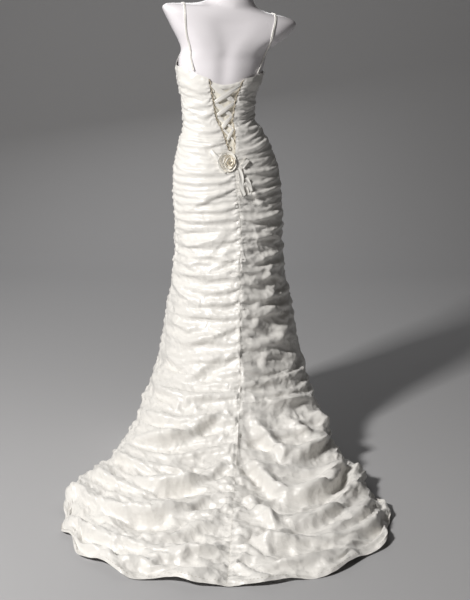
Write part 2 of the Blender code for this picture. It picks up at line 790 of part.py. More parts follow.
def build_lacing() -> None:
    """Two ends of one ribbon that cross over each other down the opening."""
    run_steps = 5
    for number, strand in enumerate(LACE_STRANDS):
        centres = []
        normals = []
        across = []
        for leg, (start, end) in enumerate(zip(strand, strand[1:])):
            on_top = leg % 2 == number
            offset = LACE_HIGH if on_top else LACE_LOW
            facing = 1.0 if leg % 2 == 0 else -1.0
            for step in range(run_steps + 1):
                share = step / run_steps
                down = start.down + (end.down - start.down) * share
                edge_start = 1.0 - LACE_CLEAR / opening_at(start.down)
                edge_end = 1.0 - LACE_CLEAR / opening_at(end.down)
                side = start.side * edge_start * (1.0 - share) + end.side * edge_end * share
                depth = LACE_DEPTH_TOP + (LACE_DEPTH_FOOT - LACE_DEPTH_TOP) * down / LACING_FOOT
                angle = side * opening_angle(down)
                normal = gown_normal(angle, down)
                centres.append(gown_point(angle, down) + normal * offset)
                normals.append(normal * facing)
                half = gown_point(angle, down + 0.5 * depth) - gown_point(angle, down - 0.5 * depth)
                across.append(0.5 * half)
            if leg < len(strand) - 2:
                outward = (centres[-1] - centres[-2]).normalized()
                centres.append(trim_point(end.side * edge_end, end.down, 0.5 * (LACE_HIGH + LACE_LOW))
                               + outward * 0.0010)
                normals.append(outward)
                across.append(across[-1].copy())
        ribbon(f"lace_ribbon_{number + 1}", centres, normals, across, LACE_THICKNESS, "satin_ribbon")


def build_loops() -> None:
    """Cord sewn in small loops along each edge of the opening."""
    steps = LOOP_COUNT * 4
    for name, side in (("loops_left", 1.0), ("loops_right", -1.0)):
        curve = bpy.data.curves.new(name, "CURVE")
        curve.dimensions = "3D"
        curve.bevel_depth = LOOP_RADIUS
        curve.bevel_resolution = 0
        curve.use_fill_caps = True
        spline = curve.splines.new("POLY")
        spline.points.add(steps)
        for step in range(steps + 1):
            down = 0.004 + (LACING_FOOT - 0.030) * step / steps
            reach = LOOP_REACH * math.sin(math.pi * LOOP_COUNT * step / steps) ** 2
            inset = 2.0 * SEAM_GAP + LOOP_RADIUS + reach
            point = trim_point(side * (1.0 - inset / opening_at(down)), down, 0.0012)
            spline.points[step].co = (*point, 1.0)
        cord = bpy.data.objects.new(name, curve)
        bpy.context.scene.collection.objects.link(cord)
        bpy.context.view_layer.update()
        mesh = bpy.data.meshes.new_from_object(cord.evaluated_get(bpy.context.evaluated_depsgraph_get()))
        bpy.data.objects.remove(cord)
        shape = bmesh.new()
        shape.from_mesh(mesh)
        bmesh.ops.remove_doubles(shape, verts=shape.verts, dist=0.00001)
        shape.to_mesh(mesh)
        shape.free()
        mesh.name = name
        make_object(name, mesh, "satin_ribbon")


def build_rose() -> None:
    """Flower rolled from one strip of cloth, at the foot of the lacing."""
    centre = gown_point(ROSE_ANGLE, ROSE_DOWN)
    outward = gown_normal(ROSE_ANGLE, ROSE_DOWN)
    across = Vector((0.0, 0.0, 1.0)).cross(outward).normalized()
    upward = outward.cross(across)
    steps = int(ROSE_TURNS * ROSE_STEPS)
    outer = []
    inner = []
    for level in (1.0, 0.55, 0.0):
        outer_row = []
        inner_row = []
        for step in range(steps + 1):
            share = step / steps
            direction = math.tau * ROSE_TURNS * share
            petal = math.sin(2.5 * direction)
            radius = ROSE_CORE + (ROSE_RADIUS - ROSE_CORE) * share ** 0.85
            radius += 0.0035 * share * level * level
            rim = ROSE_HEIGHT * (1.0 - 0.38 * share) + 0.0012 * petal * share
            lift = ROSE_LIFT + level * rim
            for row, reach in ((outer_row, radius + 0.5 * TRIM_WALL), (inner_row, radius - 0.5 * TRIM_WALL)):
                row.append(centre + outward * lift + across * reach * math.cos(direction)
                           + upward * reach * ROSE_STRETCH * math.sin(direction))
        outer.append(outer_row)
        inner.append(inner_row)
    wall("rose", outer, inner, "rose_fabric")


def build_bow() -> None:
    """Loops and tails of ribbon round the flower."""
    for name, points in BOW_RIBBONS.items():
        guide = [Vector((point.angle * BOW_METRES_PER_DEGREE, point.down, point.offset)) for point in points]
        centres = []
        normals = []
        for x, down, offset in smooth_path(guide, BOW_ROWS):
            angle = x / BOW_METRES_PER_DEGREE
            normals.append(gown_normal(angle, down))
            centres.append(gown_point(angle, down) + normals[-1] * offset)
        across = []
        for step, normal in enumerate(normals):
            along = centres[min(step + 1, BOW_ROWS - 1)] - centres[max(step - 1, 0)]
            across.append(along.cross(normal).normalized() * 0.5 * BOW_WIDTH)
        ribbon(name, centres, normals, across, TRIM_WALL, "satin_ribbon")


# ---- Whole part ------------------------------------------------------------------------------------------

def main() -> None:
    """Clear the scene and build every piece."""
    for old in list(bpy.data.objects):
        bpy.data.objects.remove(old)
    bpy.context.scene.collection.children.link(bpy.data.collections.new(COLLECTION))
    build_panels()
    torso = build_form()
    build_stand()
    build_straps(torso)
    build_modesty_panel()
    build_lacing()
    build_loops()
    build_rose()
    build_bow()


main()
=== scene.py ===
"""Looks of a ruched taffeta wedding dress with a train, worn by a limbless dress form.

Everything is in metres with +Z up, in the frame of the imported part: the origin is the centre of
the underside of the stand's foot, the gown faces -Y, its train lies towards +Y, and +X is the
wearer's left.

The gown is described by two coordinates.  "angle" runs round it in degrees: 0 is the centre back,
90 the left side seam, 180 the centre front and -90 the right side seam.  "down" is the distance
down the centre back from the top edge.  Each panel is a grid in these coordinates.  Its gathers and
creases are raised from the base surface, and a relaxation then lets the cloth settle until its
threads have the lengths to which they were cut, so that it buckles as crisp taffeta does.
"""

from __future__ import annotations

import logging
import math
from dataclasses import dataclass
from enum import Enum
from typing import Callable, NamedTuple, Sequence

import bmesh
import bpy
import numpy as np
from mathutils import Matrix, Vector
from mathutils.bvhtree import BVHTree


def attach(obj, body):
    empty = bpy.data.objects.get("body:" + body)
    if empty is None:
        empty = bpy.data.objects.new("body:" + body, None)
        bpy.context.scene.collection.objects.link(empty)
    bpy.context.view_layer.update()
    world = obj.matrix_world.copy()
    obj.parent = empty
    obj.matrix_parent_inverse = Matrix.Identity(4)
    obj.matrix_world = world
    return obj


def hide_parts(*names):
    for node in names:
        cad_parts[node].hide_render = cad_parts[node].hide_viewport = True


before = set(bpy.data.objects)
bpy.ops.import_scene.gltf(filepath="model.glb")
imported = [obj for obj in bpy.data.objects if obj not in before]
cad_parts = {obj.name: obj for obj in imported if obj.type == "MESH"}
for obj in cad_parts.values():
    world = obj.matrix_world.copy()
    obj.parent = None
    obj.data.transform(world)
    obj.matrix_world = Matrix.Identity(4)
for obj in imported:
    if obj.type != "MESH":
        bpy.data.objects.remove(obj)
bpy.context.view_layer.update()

logging.basicConfig(level=logging.INFO, format="%(message)s")
LOG = logging.getLogger("wedding_dress")

Array = np.ndarray

# ---- Driving dimensions (metres) -----------------------------------------------------------------

WALL = 0.0022               # cloth wall of the solids; the taffeta starts at its outer face
CLOTH_THICKNESS = 0.0007
BACK_TOP = 1.230            # height of the top edge at the centre back
SPREAD_HEIGHT = 0.300       # height at which the skirt starts to spread to its hem
SPREAD_LENGTH = 0.850       # length of the spreading part along the centre back
STRAIGHT_LENGTH = BACK_TOP - SPREAD_HEIGHT
FULL_LENGTH = STRAIGHT_LENGTH + SPREAD_LENGTH
LACING_FOOT = 0.240         # the opening in the back ends this far down
FORM_INSET = 0.0052         # form's surface below the gown's base surface
FORM_BOTTOM = 0.740
HEM_WAVE = 0.016            # height of the waves in the hem of the train
HEM_WAVE_SPAN = 18.0        # degrees round the hem from one wave to the next
FLOWER_ANGLE = 7.0          # middle of the flower: degrees round from the back, and distance down
FLOWER_DOWN = 0.255
BUST_ANGLE = 138.0          # degrees round to the highest point of the front's top edge
SHOULDER_TILT = 0.108       # rise per metre towards the wearer's left at the shoulders
TILT_START = 1.24           # height at which the form starts to tilt
TILT_FULL = 1.41
SIDE = 90.0                 # degrees round to the side seams
CRISP_EDGE = math.radians(60.0)     # edges sharper than this aren't shaded smooth


# ---- Tables of the gown and the form -------------------------------------------------------------

class Section(NamedTuple):
    """Horizontal section of the gown: an ellipse with its own depth in front and behind."""
    height: float
    half_width: float
    back: float
    front: float
    centre_x: float
    turn: float             # degrees about +Z


SECTIONS = (
    Section(1.350, 0.1410, 0.078, 0.100, 0.016, 15),
    Section(1.300, 0.1480, 0.082, 0.114, 0.020, 15),
    Section(1.235, 0.1370, 0.086, 0.124, 0.028, 15),
    Section(1.170, 0.1190, 0.081, 0.100, 0.034, 15),
    Section(1.110, 0.1160, 0.078, 0.088, 0.033, 15),
    Section(1.072, 0.1300, 0.084, 0.094, 0.022, 15),
    Section(1.037, 0.1470, 0.092, 0.100, 0.018, 15),
    Section(1.004, 0.1570, 0.098, 0.104, 0.014, 15),
    Section(0.940, 0.1740, 0.112, 0.111, 0.009, 15),
    Section(0.873, 0.1780, 0.124, 0.116, 0.006, 15),
    Section(0.771, 0.1800, 0.132, 0.122, 0.000, 15),
    Section(0.703, 0.1780, 0.138, 0.122, 0.002, 14),
    Section(0.634, 0.1830, 0.148, 0.126, 0.002, 12),
    Section(0.563, 0.1930, 0.158, 0.134, 0.001, 11),
    Section(0.493, 0.2070, 0.172, 0.145, 0.000, 10),
    Section(0.421, 0.2200, 0.192, 0.160, 0.000, 9),
    Section(0.350, 0.2320, 0.220, 0.178, 0.000, 8),
    Section(SPREAD_HEIGHT, 0.2420, 0.245, 0.192, 0.000, 8),
)


class HemPoint(NamedTuple):
    """Outline of the hem on the floor; left and right are distances from the centre line."""
    angle: float
    left: float
    right: float
    y: float


HEM = (
    HemPoint(0.0, 0.000, 0.000, 1.000),
    HemPoint(15.0, 0.195, 0.185, 0.978),
    HemPoint(30.0, 0.345, 0.330, 0.895),
    HemPoint(45.0, 0.445, 0.440, 0.765),
    HemPoint(60.0, 0.482, 0.465, 0.610),
    HemPoint(75.0, 0.445, 0.410, 0.455),
    HemPoint(90.0, 0.375, 0.360, 0.295),
    HemPoint(112.5, 0.342, 0.335, 0.105),
    HemPoint(135.0, 0.282, 0.278, -0.080),
    HemPoint(157.5, 0.160, 0.160, -0.225),
    HemPoint(180.0, 0.000, 0.000, -0.285),
)


class SpreadStation(NamedTuple):
    """Profile of the spreading skirt: the share of the way out to the hem, and the height."""
    share: float
    back_out: float
    back_height: float
    side_out: float
    side_height: float
    front_out: float
    front_height: float


SPREAD = (
    SpreadStation(0.00, 0.000, 0.300, 0.00, 0.300, 0.00, 0.300),
    SpreadStation(0.15, 0.073, 0.214, 0.20, 0.220, 0.26, 0.232),
    SpreadStation(0.30, 0.215, 0.122, 0.38, 0.148, 0.47, 0.170),
    SpreadStation(0.45, 0.400, 0.062, 0.54, 0.092, 0.66, 0.112),
    SpreadStation(0.70, 0.690, 0.024, 0.78, 0.036, 0.87, 0.048),
    SpreadStation(1.00, 1.000, 0.002, 1.00, 0.001, 1.00, 0.000),
)


class Rise(NamedTuple):
    """How far a fold that starts at the centre back climbs on its way round the gown."""
    down: float
    left: float
    right: float
    bust: float
    front: float


RISES = (
    Rise(0.00, 0.046, 0.027, 0.104, 0.084),
    Rise(0.12, 0.036, 0.042, 0.052, 0.046),
    Rise(0.20, 0.024, 0.050, 0.022, 0.020),
    Rise(0.30, 0.008, 0.036, 0.004, 0.004),
    Rise(0.45, -0.006, 0.012, 0.000, 0.000),
    Rise(0.65, 0.000, 0.000, 0.000, 0.000),
    Rise(1.78, 0.000, 0.000, 0.000, 0.000),
)


class OpeningWidth(NamedTuple):
    """Half the width of the laced opening in the back."""
    down: float
    half_width: float


OPENING = (
    OpeningWidth(0.000, 0.0575),
    OpeningWidth(0.060, 0.0400),
    OpeningWidth(0.105, 0.0320),
    OpeningWidth(0.150, 0.0235),
    OpeningWidth(0.205, 0.0140),
    OpeningWidth(LACING_FOOT, 0.0040),
)


class Ruching(NamedTuple):
    """How the cloth is gathered at a distance down the gown."""
    down: float
    spacing: float          # of the main folds
    height: float           # of a main fold
    wander: float           # how far folds stray and fork, in spacings
    gather: float           # spacing of the fine gathers at the seams
    slant: float            # fall of a fine gather for each metre that it runs from its seam
    fall_left: float        # how far the main folds fall on their way out from the centre back
    fall_right: float
    slack_down: float       # extra length that the cloth was cut with
    slack_across: float
    ceiling: float          # the most that the cloth stands off its base surface


RUCHING = (
    Ruching(0.00, 0.0165, 0.0042, 0.20, 0.0085, 0.0, -0.050, -0.050, 0.060, 0.004, 0.0085),
    Ruching(0.20, 0.0180, 0.0047, 0.38, 0.0090, 0.0, -0.040, -0.060, 0.080, 0.006, 0.0090),
    Ruching(0.34, 0.0230, 0.0046, 1.05, 0.0100, -0.2, -0.006, -0.035, 0.110, 0.012, 0.0120),
    Ruching(0.60, 0.0300, 0.0054, 1.30, 0.0110, -0.4, 0.008, -0.030, 0.130, 0.020, 0.0160),
    Ruching(0.90, 0.0420, 0.0060, 1.40, 0.0120, -0.3, 0.050, 0.000, 0.140, 0.030, 0.0220),
    Ruching(1.12, 0.0540, 0.0050, 1.30, 0.0135, 0.7, 0.130, 0.140, 0.140, 0.035, 0.0300),
    Ruching(1.35, 0.0600, 0.0036, 1.40, 0.0150, 0.9, 0.140, 0.150, 0.140, 0.040, 0.0340),
    Ruching(1.56, 0.0560, 0.0034, 1.40, 0.0170, -0.9, 0.050, 0.060, 0.130, 0.050, 0.0320),
    Ruching(1.78, 0.0440, 0.0034, 1.00, 0.0170, -0.9, 0.000, 0.000, 0.090, 0.050, 0.0200),
)


class Unevenness(NamedTuple):
    """Noise over the cloth: its middle value and swing, its length across the gown and down it."""
    middle: float
    swing: float
    across: float
    down: float             # in spacings for the folds, in metres for the gathers
    shift_across: float = 0.0       # to a part of the noise of its own
    shift_down: float = 0.0


UNEVENNESS = {
    "wander": Unevenness(0.00, 0.75, 0.17, 3.2),
    "small wander": Unevenness(0.00, 0.35, 0.060, 1.6, 31.0, 7.0),
    "bodice height": Unevenness(0.62, 0.38, 0.10, 1.3, 11.0, 50.0),
    "skirt height": Unevenness(0.45, 0.90, 0.20, 1.5, 2.0, 80.0),
    "small folds": Unevenness(0.00, 0.90, 0.05, 1.0, 71.0, 3.0),
    "gathers": Unevenness(0.00, 0.50, 0.02, 0.03, 5.0),
    "gather height": Unevenness(0.65, 0.35, 0.03, 0.018, 9.0, 21.0),
}


class HemBump(NamedTuple):
    """How far the train's hem stands out from its smooth outline at an angle, or in."""
    angle: float
    push: float


HEM_BUMPS = (
    HemBump(-180, 0.000),
    HemBump(-96, 0.000),
    HemBump(-86, -0.006),
    HemBump(-76, 0.008),
    HemBump(-67, -0.008),
    HemBump(-58, 0.012),
    HemBump(-50, -0.004),
    HemBump(-43, 0.009),
    HemBump(-33, -0.006),
    HemBump(-24, 0.005),
    HemBump(-14, -0.009),
    HemBump(-7, 0.006),
    HemBump(0, 0.002),
    HemBump(6, 0.008),
    HemBump(12, -0.010),
    HemBump(21, 0.005),
    HemBump(29, -0.008),
    HemBump(37, 0.010),
    HemBump(44, -0.016),
    HemBump(51, 0.013),
    HemBump(57, -0.010),
    HemBump(63, 0.009),
    HemBump(71, -0.006),
    HemBump(79, 0.012),
    HemBump(88, -0.006),
    HemBump(98, 0.000),
    HemBump(180, 0.000),
)


class Crinkle(NamedTuple):
    """Long sharp ridges in one direction, with soft troughs between them."""
    lean: float             # degrees from straight across the gown
    length: float
    width: float
    height: float


CRINKLES = (
    Crinkle(11, 0.340, 0.056, 0.0065),
    Crinkle(-24, 0.320, 0.062, 0.0075),
    Crinkle(40, 0.260, 0.064, 0.0065),
    Crinkle(-60, 0.200, 0.066, 0.0055),
    Crinkle(5, 0.170, 0.030, 0.0050),
    Crinkle(-38, 0.150, 0.032, 0.0052),
    Crinkle(28, 0.140, 0.029, 0.0046),
    Crinkle(74, 0.110, 0.032, 0.0034),
    Crinkle(-12, 0.080, 0.017, 0.0017),
    Crinkle(52, 0.080, 0.018, 0.0017),
)


class Growth(NamedTuple):
    """Share of a relief that shows on the bodice, and what the skirt and the train add to it."""
    bodice: float
    skirt: float
    skirt_start: float      # distances down between which the skirt's share is added
    skirt_full: float
    train: float
    train_start: float
    train_full: float


CRINKLE_GROWTH = Growth(0.12, 0.50, 0.18, 0.60, 0.45, 0.80, 1.35)
FACET_GROWTH = Growth(0.06, 0.34, 0.35, 0.80, 0.60, 0.85, 1.30)


class Facets(NamedTuple):
    """Crushed cells of one size: their length across the gown and width down it, turned by a lean."""
    lean: float
    length: float
    width: float
    height: float           # negative where the facets meet in valleys


FACETS = (
    Facets(14, 0.130, 0.070, 0.0125),
    Facets(-26, 0.095, 0.050, -0.0085),
    Facets(38, 0.048, 0.030, 0.0052),
)


class Crease(NamedTuple):
    """Main crease between two places on the gown; a negative height makes it a trough."""
    angle: float
    down: float
    end_angle: float
    end_down: float
    height: float
    above: float            # half width on its upper side
    below: float            # and on its lower side, where it drops more steeply
    hang: float = 0.0       # how far its middle hangs below the straight line


LEFT_CREASES = (
    Crease(60, 0.400, 12, 0.345, 0.0050, 0.016, 0.007),
    Crease(70, 0.435, 20, 0.440, 0.0050, 0.018, 0.008),
    Crease(78, 0.490, 4, 0.452, -0.0050, 0.010, 0.012),
    Crease(60, 0.520, 8, 0.480, 0.0060, 0.020, 0.008),
    Crease(66, 0.570, 30, 0.612, 0.0060, 0.020, 0.008),
    Crease(34, 0.610, 4, 0.560, 0.0050, 0.016, 0.008),
    Crease(84, 0.640, 44, 0.700, 0.0070, 0.022, 0.008),
    Crease(56, 0.720, 2, 0.700, 0.0070, 0.024, 0.010),
    Crease(78, 0.760, 30, 0.810, 0.0080, 0.028, 0.010),
    Crease(46, 0.850, 2, 0.780, 0.0080, 0.026, 0.010),
    Crease(70, 0.880, 34, 0.935, 0.0080, 0.026, 0.010),
    Crease(36, 0.960, 6, 0.885, -0.0090, 0.012, 0.018),
    Crease(40, 0.945, 10, 0.865, 0.0090, 0.030, 0.010),
    Crease(80, 0.990, 36, 1.030, 0.0100, 0.030, 0.012),
    Crease(44, 1.060, 10, 1.000, 0.0080, 0.030, 0.012),
    Crease(62, 1.120, 24, 1.110, 0.0100, 0.034, 0.014),
    Crease(52, 1.225, 4, 1.080, -0.0120, 0.014, 0.026, 0.02),
    Crease(54, 1.205, 6, 1.060, 0.0170, 0.034, 0.010, 0.02),
    Crease(68, 1.290, 30, 1.270, 0.0130, 0.040, 0.014, 0.02),
    Crease(40, 1.350, 2, 1.250, 0.0180, 0.036, 0.012, 0.04),
    Crease(38, 1.370, 3, 1.275, -0.0110, 0.014, 0.020, 0.04),
    Crease(74, 1.420, 42, 1.400, 0.0160, 0.040, 0.016, 0.02),
    Crease(42, 1.520, 3, 1.370, 0.0210, 0.042, 0.012, 0.04),
    Crease(42, 1.540, 3, 1.390, -0.0130, 0.014, 0.024, 0.04),
    Crease(74, 1.560, 56, 1.620, 0.0230, 0.046, 0.022, 0.01),
    Crease(60, 1.560, 30, 1.590, 0.0140, 0.034, 0.014, -0.02),
    Crease(24, 1.600, 3, 1.500, 0.0140, 0.030, 0.012, 0.02),
    Crease(50, 1.690, 26, 1.640, 0.0130, 0.034, 0.014, 0.01),
    Crease(66, 1.700, 56, 1.640, 0.0180, 0.026, 0.018),
    Crease(22, 1.700, 3, 1.620, 0.0110, 0.026, 0.012, 0.01),
    Crease(38, 1.745, 14, 1.720, 0.0100, 0.022, 0.012),
)

RIGHT_CREASES = (
    Crease(-6, 0.310, -30, 0.400, 0.0055, 0.012, 0.008),
    Crease(-10, 0.360, -30, 0.385, -0.0050, 0.012, 0.014),
    Crease(-4, 0.440, -60, 0.430, 0.0060, 0.016, 0.008),
    Crease(-14, 0.475, -24, 0.525, 0.0060, 0.010, 0.008),
    Crease(-6, 0.520, -58, 0.470, 0.0060, 0.018, 0.009),
    Crease(-8, 0.590, -56, 0.540, 0.0070, 0.020, 0.009),
    Crease(-26, 0.640, -40, 0.560, 0.0060, 0.014, 0.010),
    Crease(-4, 0.660, -60, 0.600, 0.0070, 0.020, 0.009),
    Crease(-12, 0.730, -44, 0.660, 0.0080, 0.022, 0.010),
    Crease(-6, 0.800, -36, 0.720, 0.0080, 0.024, 0.010),
    Crease(-30, 0.850, -60, 0.760, 0.0080, 0.024, 0.012),
    Crease(-14, 0.930, -24, 0.860, 0.0070, 0.014, 0.012),
    Crease(-34, 0.950, -60, 0.890, 0.0080, 0.026, 0.012),
    Crease(-4, 1.045, -52, 1.060, 0.0162, 0.014, 0.030),
    Crease(-6, 1.075, -48, 1.085, -0.0108, 0.014, 0.020),
    Crease(-3, 1.120, -20, 1.250, -0.0175, 0.018, 0.022),
    Crease(-6, 1.100, -23, 1.230, 0.0243, 0.026, 0.014),
    Crease(-23, 1.240, -58, 1.190, 0.0216, 0.030, 0.014, 0.02),
    Crease(-30, 1.110, -42, 1.190, 0.0189, 0.018, 0.020),
    Crease(-50, 1.110, -62, 1.200, 0.0162, 0.020, 0.020),
    Crease(-3, 1.260, -15, 1.410, -0.0189, 0.018, 0.024),
    Crease(-5, 1.240, -18, 1.390, 0.0257, 0.026, 0.014),
    Crease(-18, 1.400, -56, 1.330, 0.0270, 0.034, 0.013, 0.03),
    Crease(-20, 1.425, -54, 1.355, -0.0149, 0.014, 0.022, 0.03),
    Crease(-44, 1.470, -66, 1.440, 0.0175, 0.034, 0.020),
    Crease(-3, 1.390, -12, 1.530, 0.0230, 0.024, 0.014),
    Crease(-12, 1.530, -42, 1.480, 0.0243, 0.034, 0.013, 0.03),
    Crease(-66, 1.560, -80, 1.640, 0.0175, 0.030, 0.024),
    Crease(-8, 1.590, -17, 1.550, 0.0175, 0.016, 0.014),
    Crease(-8, 1.590, -18, 1.620, 0.0175, 0.016, 0.014),
    Crease(-8, 1.590, -10, 1.650, 0.0149, 0.016, 0.014),
    Crease(-24, 1.590, -54, 1.570, 0.0216, 0.032, 0.014, 0.01),
    Crease(-30, 1.660, -50, 1.680, 0.0175, 0.030, 0.014),
    Crease(-8, 1.700, -32, 1.710, 0.0149, 0.026, 0.014),
)

FRONT_CREASES = (
    Crease(104, 0.360, 160, 0.390, 0.0050, 0.016, 0.008),
    Crease(116, 0.440, 176, 0.420, 0.0055, 0.018, 0.008),
    Crease(100, 0.520, 150, 0.560, 0.0060, 0.020, 0.008),
    Crease(140, 0.590, 210, 0.600, 0.0065, 0.020, 0.009),
    Crease(108, 0.660, 164, 0.680, 0.0070, 0.022, 0.009),
    Crease(180, 0.700, 250, 0.660, 0.0070, 0.022, 0.010),
    Crease(120, 0.780, 196, 0.800, 0.0080, 0.026, 0.010),
    Crease(200, 0.850, 262, 0.800, 0.0080, 0.024, 0.010),
    Crease(104, 0.880, 170, 0.930, 0.0090, 0.028, 0.012),
    Crease(180, 0.980, 244, 0.930, 0.0090, 0.028, 0.012),
    Crease(112, 1.040, 186, 1.080, 0.0110, 0.032, 0.014),
    Crease(196, 1.140, 258, 1.090, 0.0110, 0.032, 0.014),
    Crease(100, 1.190, 160, 1.240, 0.0120, 0.036, 0.016),
    Crease(170, 1.310, 240, 1.270, 0.0120, 0.036, 0.016),
    Crease(110, 1.420, 170, 1.450, 0.0110, 0.036, 0.016),
    Crease(188, 1.540, 256, 1.500, 0.0110, 0.034, 0.016),
    Crease(120, 1.640, 176, 1.650, 0.0080, 0.028, 0.014),
    Crease(200, 1.700, 250, 1.680, 0.0070, 0.026, 0.014),
    Crease(206, 0.400, 256, 0.370, 0.0050, 0.016, 0.008),
    Crease(214, 0.520, 262, 0.480, 0.0060, 0.018, 0.008),
)


class FormRing(NamedTuple):
    """Section of the form above the gown; square is the exponent of its superellipse."""
    height: float
    half_width: float
    back: float
    front: float
    centre_x: float
    square: float


FORM_RINGS = (
    FormRing(1.320, 0.1420, 0.0780, 0.0900, 0.014, 2.0),
    FormRing(1.345, 0.1550, 0.0780, 0.0840, 0.010, 2.2),
    FormRing(1.370, 0.1780, 0.0760, 0.0780, 0.003, 2.5),
    FormRing(1.395, 0.1980, 0.0730, 0.0710, -0.002, 2.7),
    FormRing(1.415, 0.2115, 0.0690, 0.0650, -0.004, 2.8),
    FormRing(1.428, 0.2180, 0.0650, 0.0610, -0.005, 2.6),
    FormRing(1.438, 0.2140, 0.0620, 0.0580, -0.004, 2.2),
    FormRing(1.445, 0.1990, 0.0595, 0.0560, -0.003, 1.9),
    FormRing(1.4495, 0.1660, 0.0580, 0.0550, -0.002, 1.7),
    FormRing(1.4545, 0.1250, 0.0565, 0.0540, -0.004, 1.6),
    FormRing(1.462, 0.0950, 0.0550, 0.0530, -0.006, 1.7),
    FormRing(1.473, 0.0780, 0.0540, 0.0520, -0.008, 1.9),
    FormRing(1.492, 0.0670, 0.0530, 0.0510, -0.009, 2.0),
    FormRing(1.520, 0.0620, 0.0520, 0.0505, -0.010, 2.0),
    FormRing(1.552, 0.0600, 0.0515, 0.0500, -0.010, 2.0),
    FormRing(1.568, 0.0580, 0.0495, 0.0480, -0.010, 2.0),
    FormRing(1.576, 0.0500, 0.0420, 0.0405, -0.010, 2.0),
)


class StrapPoint(NamedTuple):
    """Guide point of a strap, before it is laid on the form's surface."""
    x: float
    y: float
    height: float


STRAP_GUIDES = {
    "strap_left": (
        StrapPoint(0.1108, 0.0873, 1.2583),
        StrapPoint(0.1195, 0.0850, 1.2870),
        StrapPoint(0.1262, 0.0850, 1.3200),
        StrapPoint(0.1315, 0.0880, 1.3620),
        StrapPoint(0.1340, 0.0960, 1.4130),
        StrapPoint(0.1352, 0.0900, 1.4480),
        StrapPoint(0.1390, 0.0640, 1.4750),
        StrapPoint(0.1455, 0.0340, 1.4855),
        StrapPoint(0.1519, -0.0028, 1.4664),
        StrapPoint(0.1490, -0.0305, 1.4241),
        StrapPoint(0.1395, -0.0545, 1.3772),
        StrapPoint(0.1331, -0.0653, 1.3509),
    ),
    "strap_right": (
        StrapPoint(-0.0910, 0.0280, 1.2478),
        StrapPoint(-0.0985, 0.0170, 1.2640),
        StrapPoint(-0.1095, 0.0060, 1.2900),
        StrapPoint(-0.1215, 0.0100, 1.3230),
        StrapPoint(-0.1340, 0.0290, 1.3630),
        StrapPoint(-0.1450, 0.0280, 1.3990),
        StrapPoint(-0.1495, 0.0150, 1.4230),
        StrapPoint(-0.1500, -0.0100, 1.4480),
        StrapPoint(-0.1439, -0.0386, 1.4545),
        StrapPoint(-0.1302, -0.0784, 1.4359),
        StrapPoint(-0.1138, -0.1009, 1.3957),
        StrapPoint(-0.0884, -0.1155, 1.3569),
        StrapPoint(-0.0717, -0.1202, 1.3366),
    ),
}


class LacePoint(NamedTuple):
    """Turning point of the lacing."""
    side: int               # 1 at the wearer's left edge, -1 at the right
    down: float


LACE_STRANDS = (
    (LacePoint(-1, 0.018), LacePoint(1, 0.071), LacePoint(-1, 0.112), LacePoint(1, 0.150),
     LacePoint(-1, 0.190)),
    (LacePoint(1, 0.018), LacePoint(-1, 0.069), LacePoint(1, 0.110), LacePoint(-1, 0.152),
     LacePoint(1, 0.188)),
)


class BowPoint(NamedTuple):
    """Point on the middle line of one of the bow's ribbons."""
    angle: float
    down: float
    offset: float           # over the gown's base surface


BOW_RIBBONS = {
    "bow_loop_left": (
        BowPoint(17.0, 0.246, 0.0050),
        BowPoint(21.5, 0.235, 0.0060),
        BowPoint(25.5, 0.225, 0.0060),
    ),
    "bow_loop_right": (
        BowPoint(-7.5, 0.270, 0.0050),
        BowPoint(-11.5, 0.260, 0.0060),
        BowPoint(-15.5, 0.251, 0.0060),
    ),
    "bow_tail_long": (
        BowPoint(-4.6, 0.2720, 0.0080),
        BowPoint(-5.4, 0.302, 0.0095),
        BowPoint(-4.4, 0.332, 0.0105),
        BowPoint(-6.4, 0.362, 0.0105),
    ),
    "bow_tail_short": (
        BowPoint(-11.0, 0.306, 0.0085),
        BowPoint(-13.0, 0.330, 0.0100),
        BowPoint(-14.0, 0.352, 0.0110),
    ),
}


# ---- Curves, noise and the gown's base surface ---------------------------------------------------

class TableCurve:
    """Smooth curve through one column of a table, without overshoot and level past its ends."""

    def __init__(self, table: Sequence[NamedTuple], key: str, column: str) -> None:
        """Fit a cubic between neighbouring rows, with harmonic means of the steps as slopes."""
        rows = sorted(table, key=lambda row: getattr(row, key))
        self.knots = np.array([getattr(row, key) for row in rows], dtype=float)
        self.values = np.array([getattr(row, column) for row in rows], dtype=float)
        steps = np.diff(self.values) / np.diff(self.knots)
        agree = steps[:-1] * steps[1:] > 0.0
        total = np.where(agree, steps[:-1] + steps[1:], 1.0)
        inner = np.where(agree, 2.0 * steps[:-1] * steps[1:] / total, 0.0)
        self.slopes = np.concatenate(([steps[0]], inner, [steps[-1]]))

    def __call__(self, place: Array) -> Array:
        """Values of the curve at the given places."""
        place = np.clip(place, self.knots[0], self.knots[-1])
        i = np.clip(np.searchsorted(self.knots, place, side="right") - 1, 0, len(self.knots) - 2)
        width = self.knots[i + 1] - self.knots[i]
        t = (place - self.knots[i]) / width
        return ((1 + 2 * t) * (1 - t) ** 2 * self.values[i] + t * (1 - t) ** 2 * width * self.slopes[i]
                + t * t * (3 - 2 * t) * self.values[i + 1] + t * t * (t - 1) * width * self.slopes[i + 1])


def curves(table: Sequence[NamedTuple]) -> dict[str, TableCurve]:
    """A curve through each column of a table but its first, over the first."""
    key, *columns = table[0]._fields
    return {column: TableCurve(table, key, column) for column in columns}


def smooth_step(low: float, high: float, value: Array) -> Array:
    """0 up to low, 1 from high on, and a smooth rise between them."""
    t = np.clip((value - low) / (high - low), 0.0, 1.0)
    return t * t * (3.0 - 2.0 * t)


def grown(growth: Growth, down: Array) -> Array:
    """Share of a relief that shows at a distance down the gown."""
    return (growth.bodice + growth.skirt * smooth_step(growth.skirt_start, growth.skirt_full, down)
            + growth.train * smooth_step(growth.train_start, growth.train_full, down))


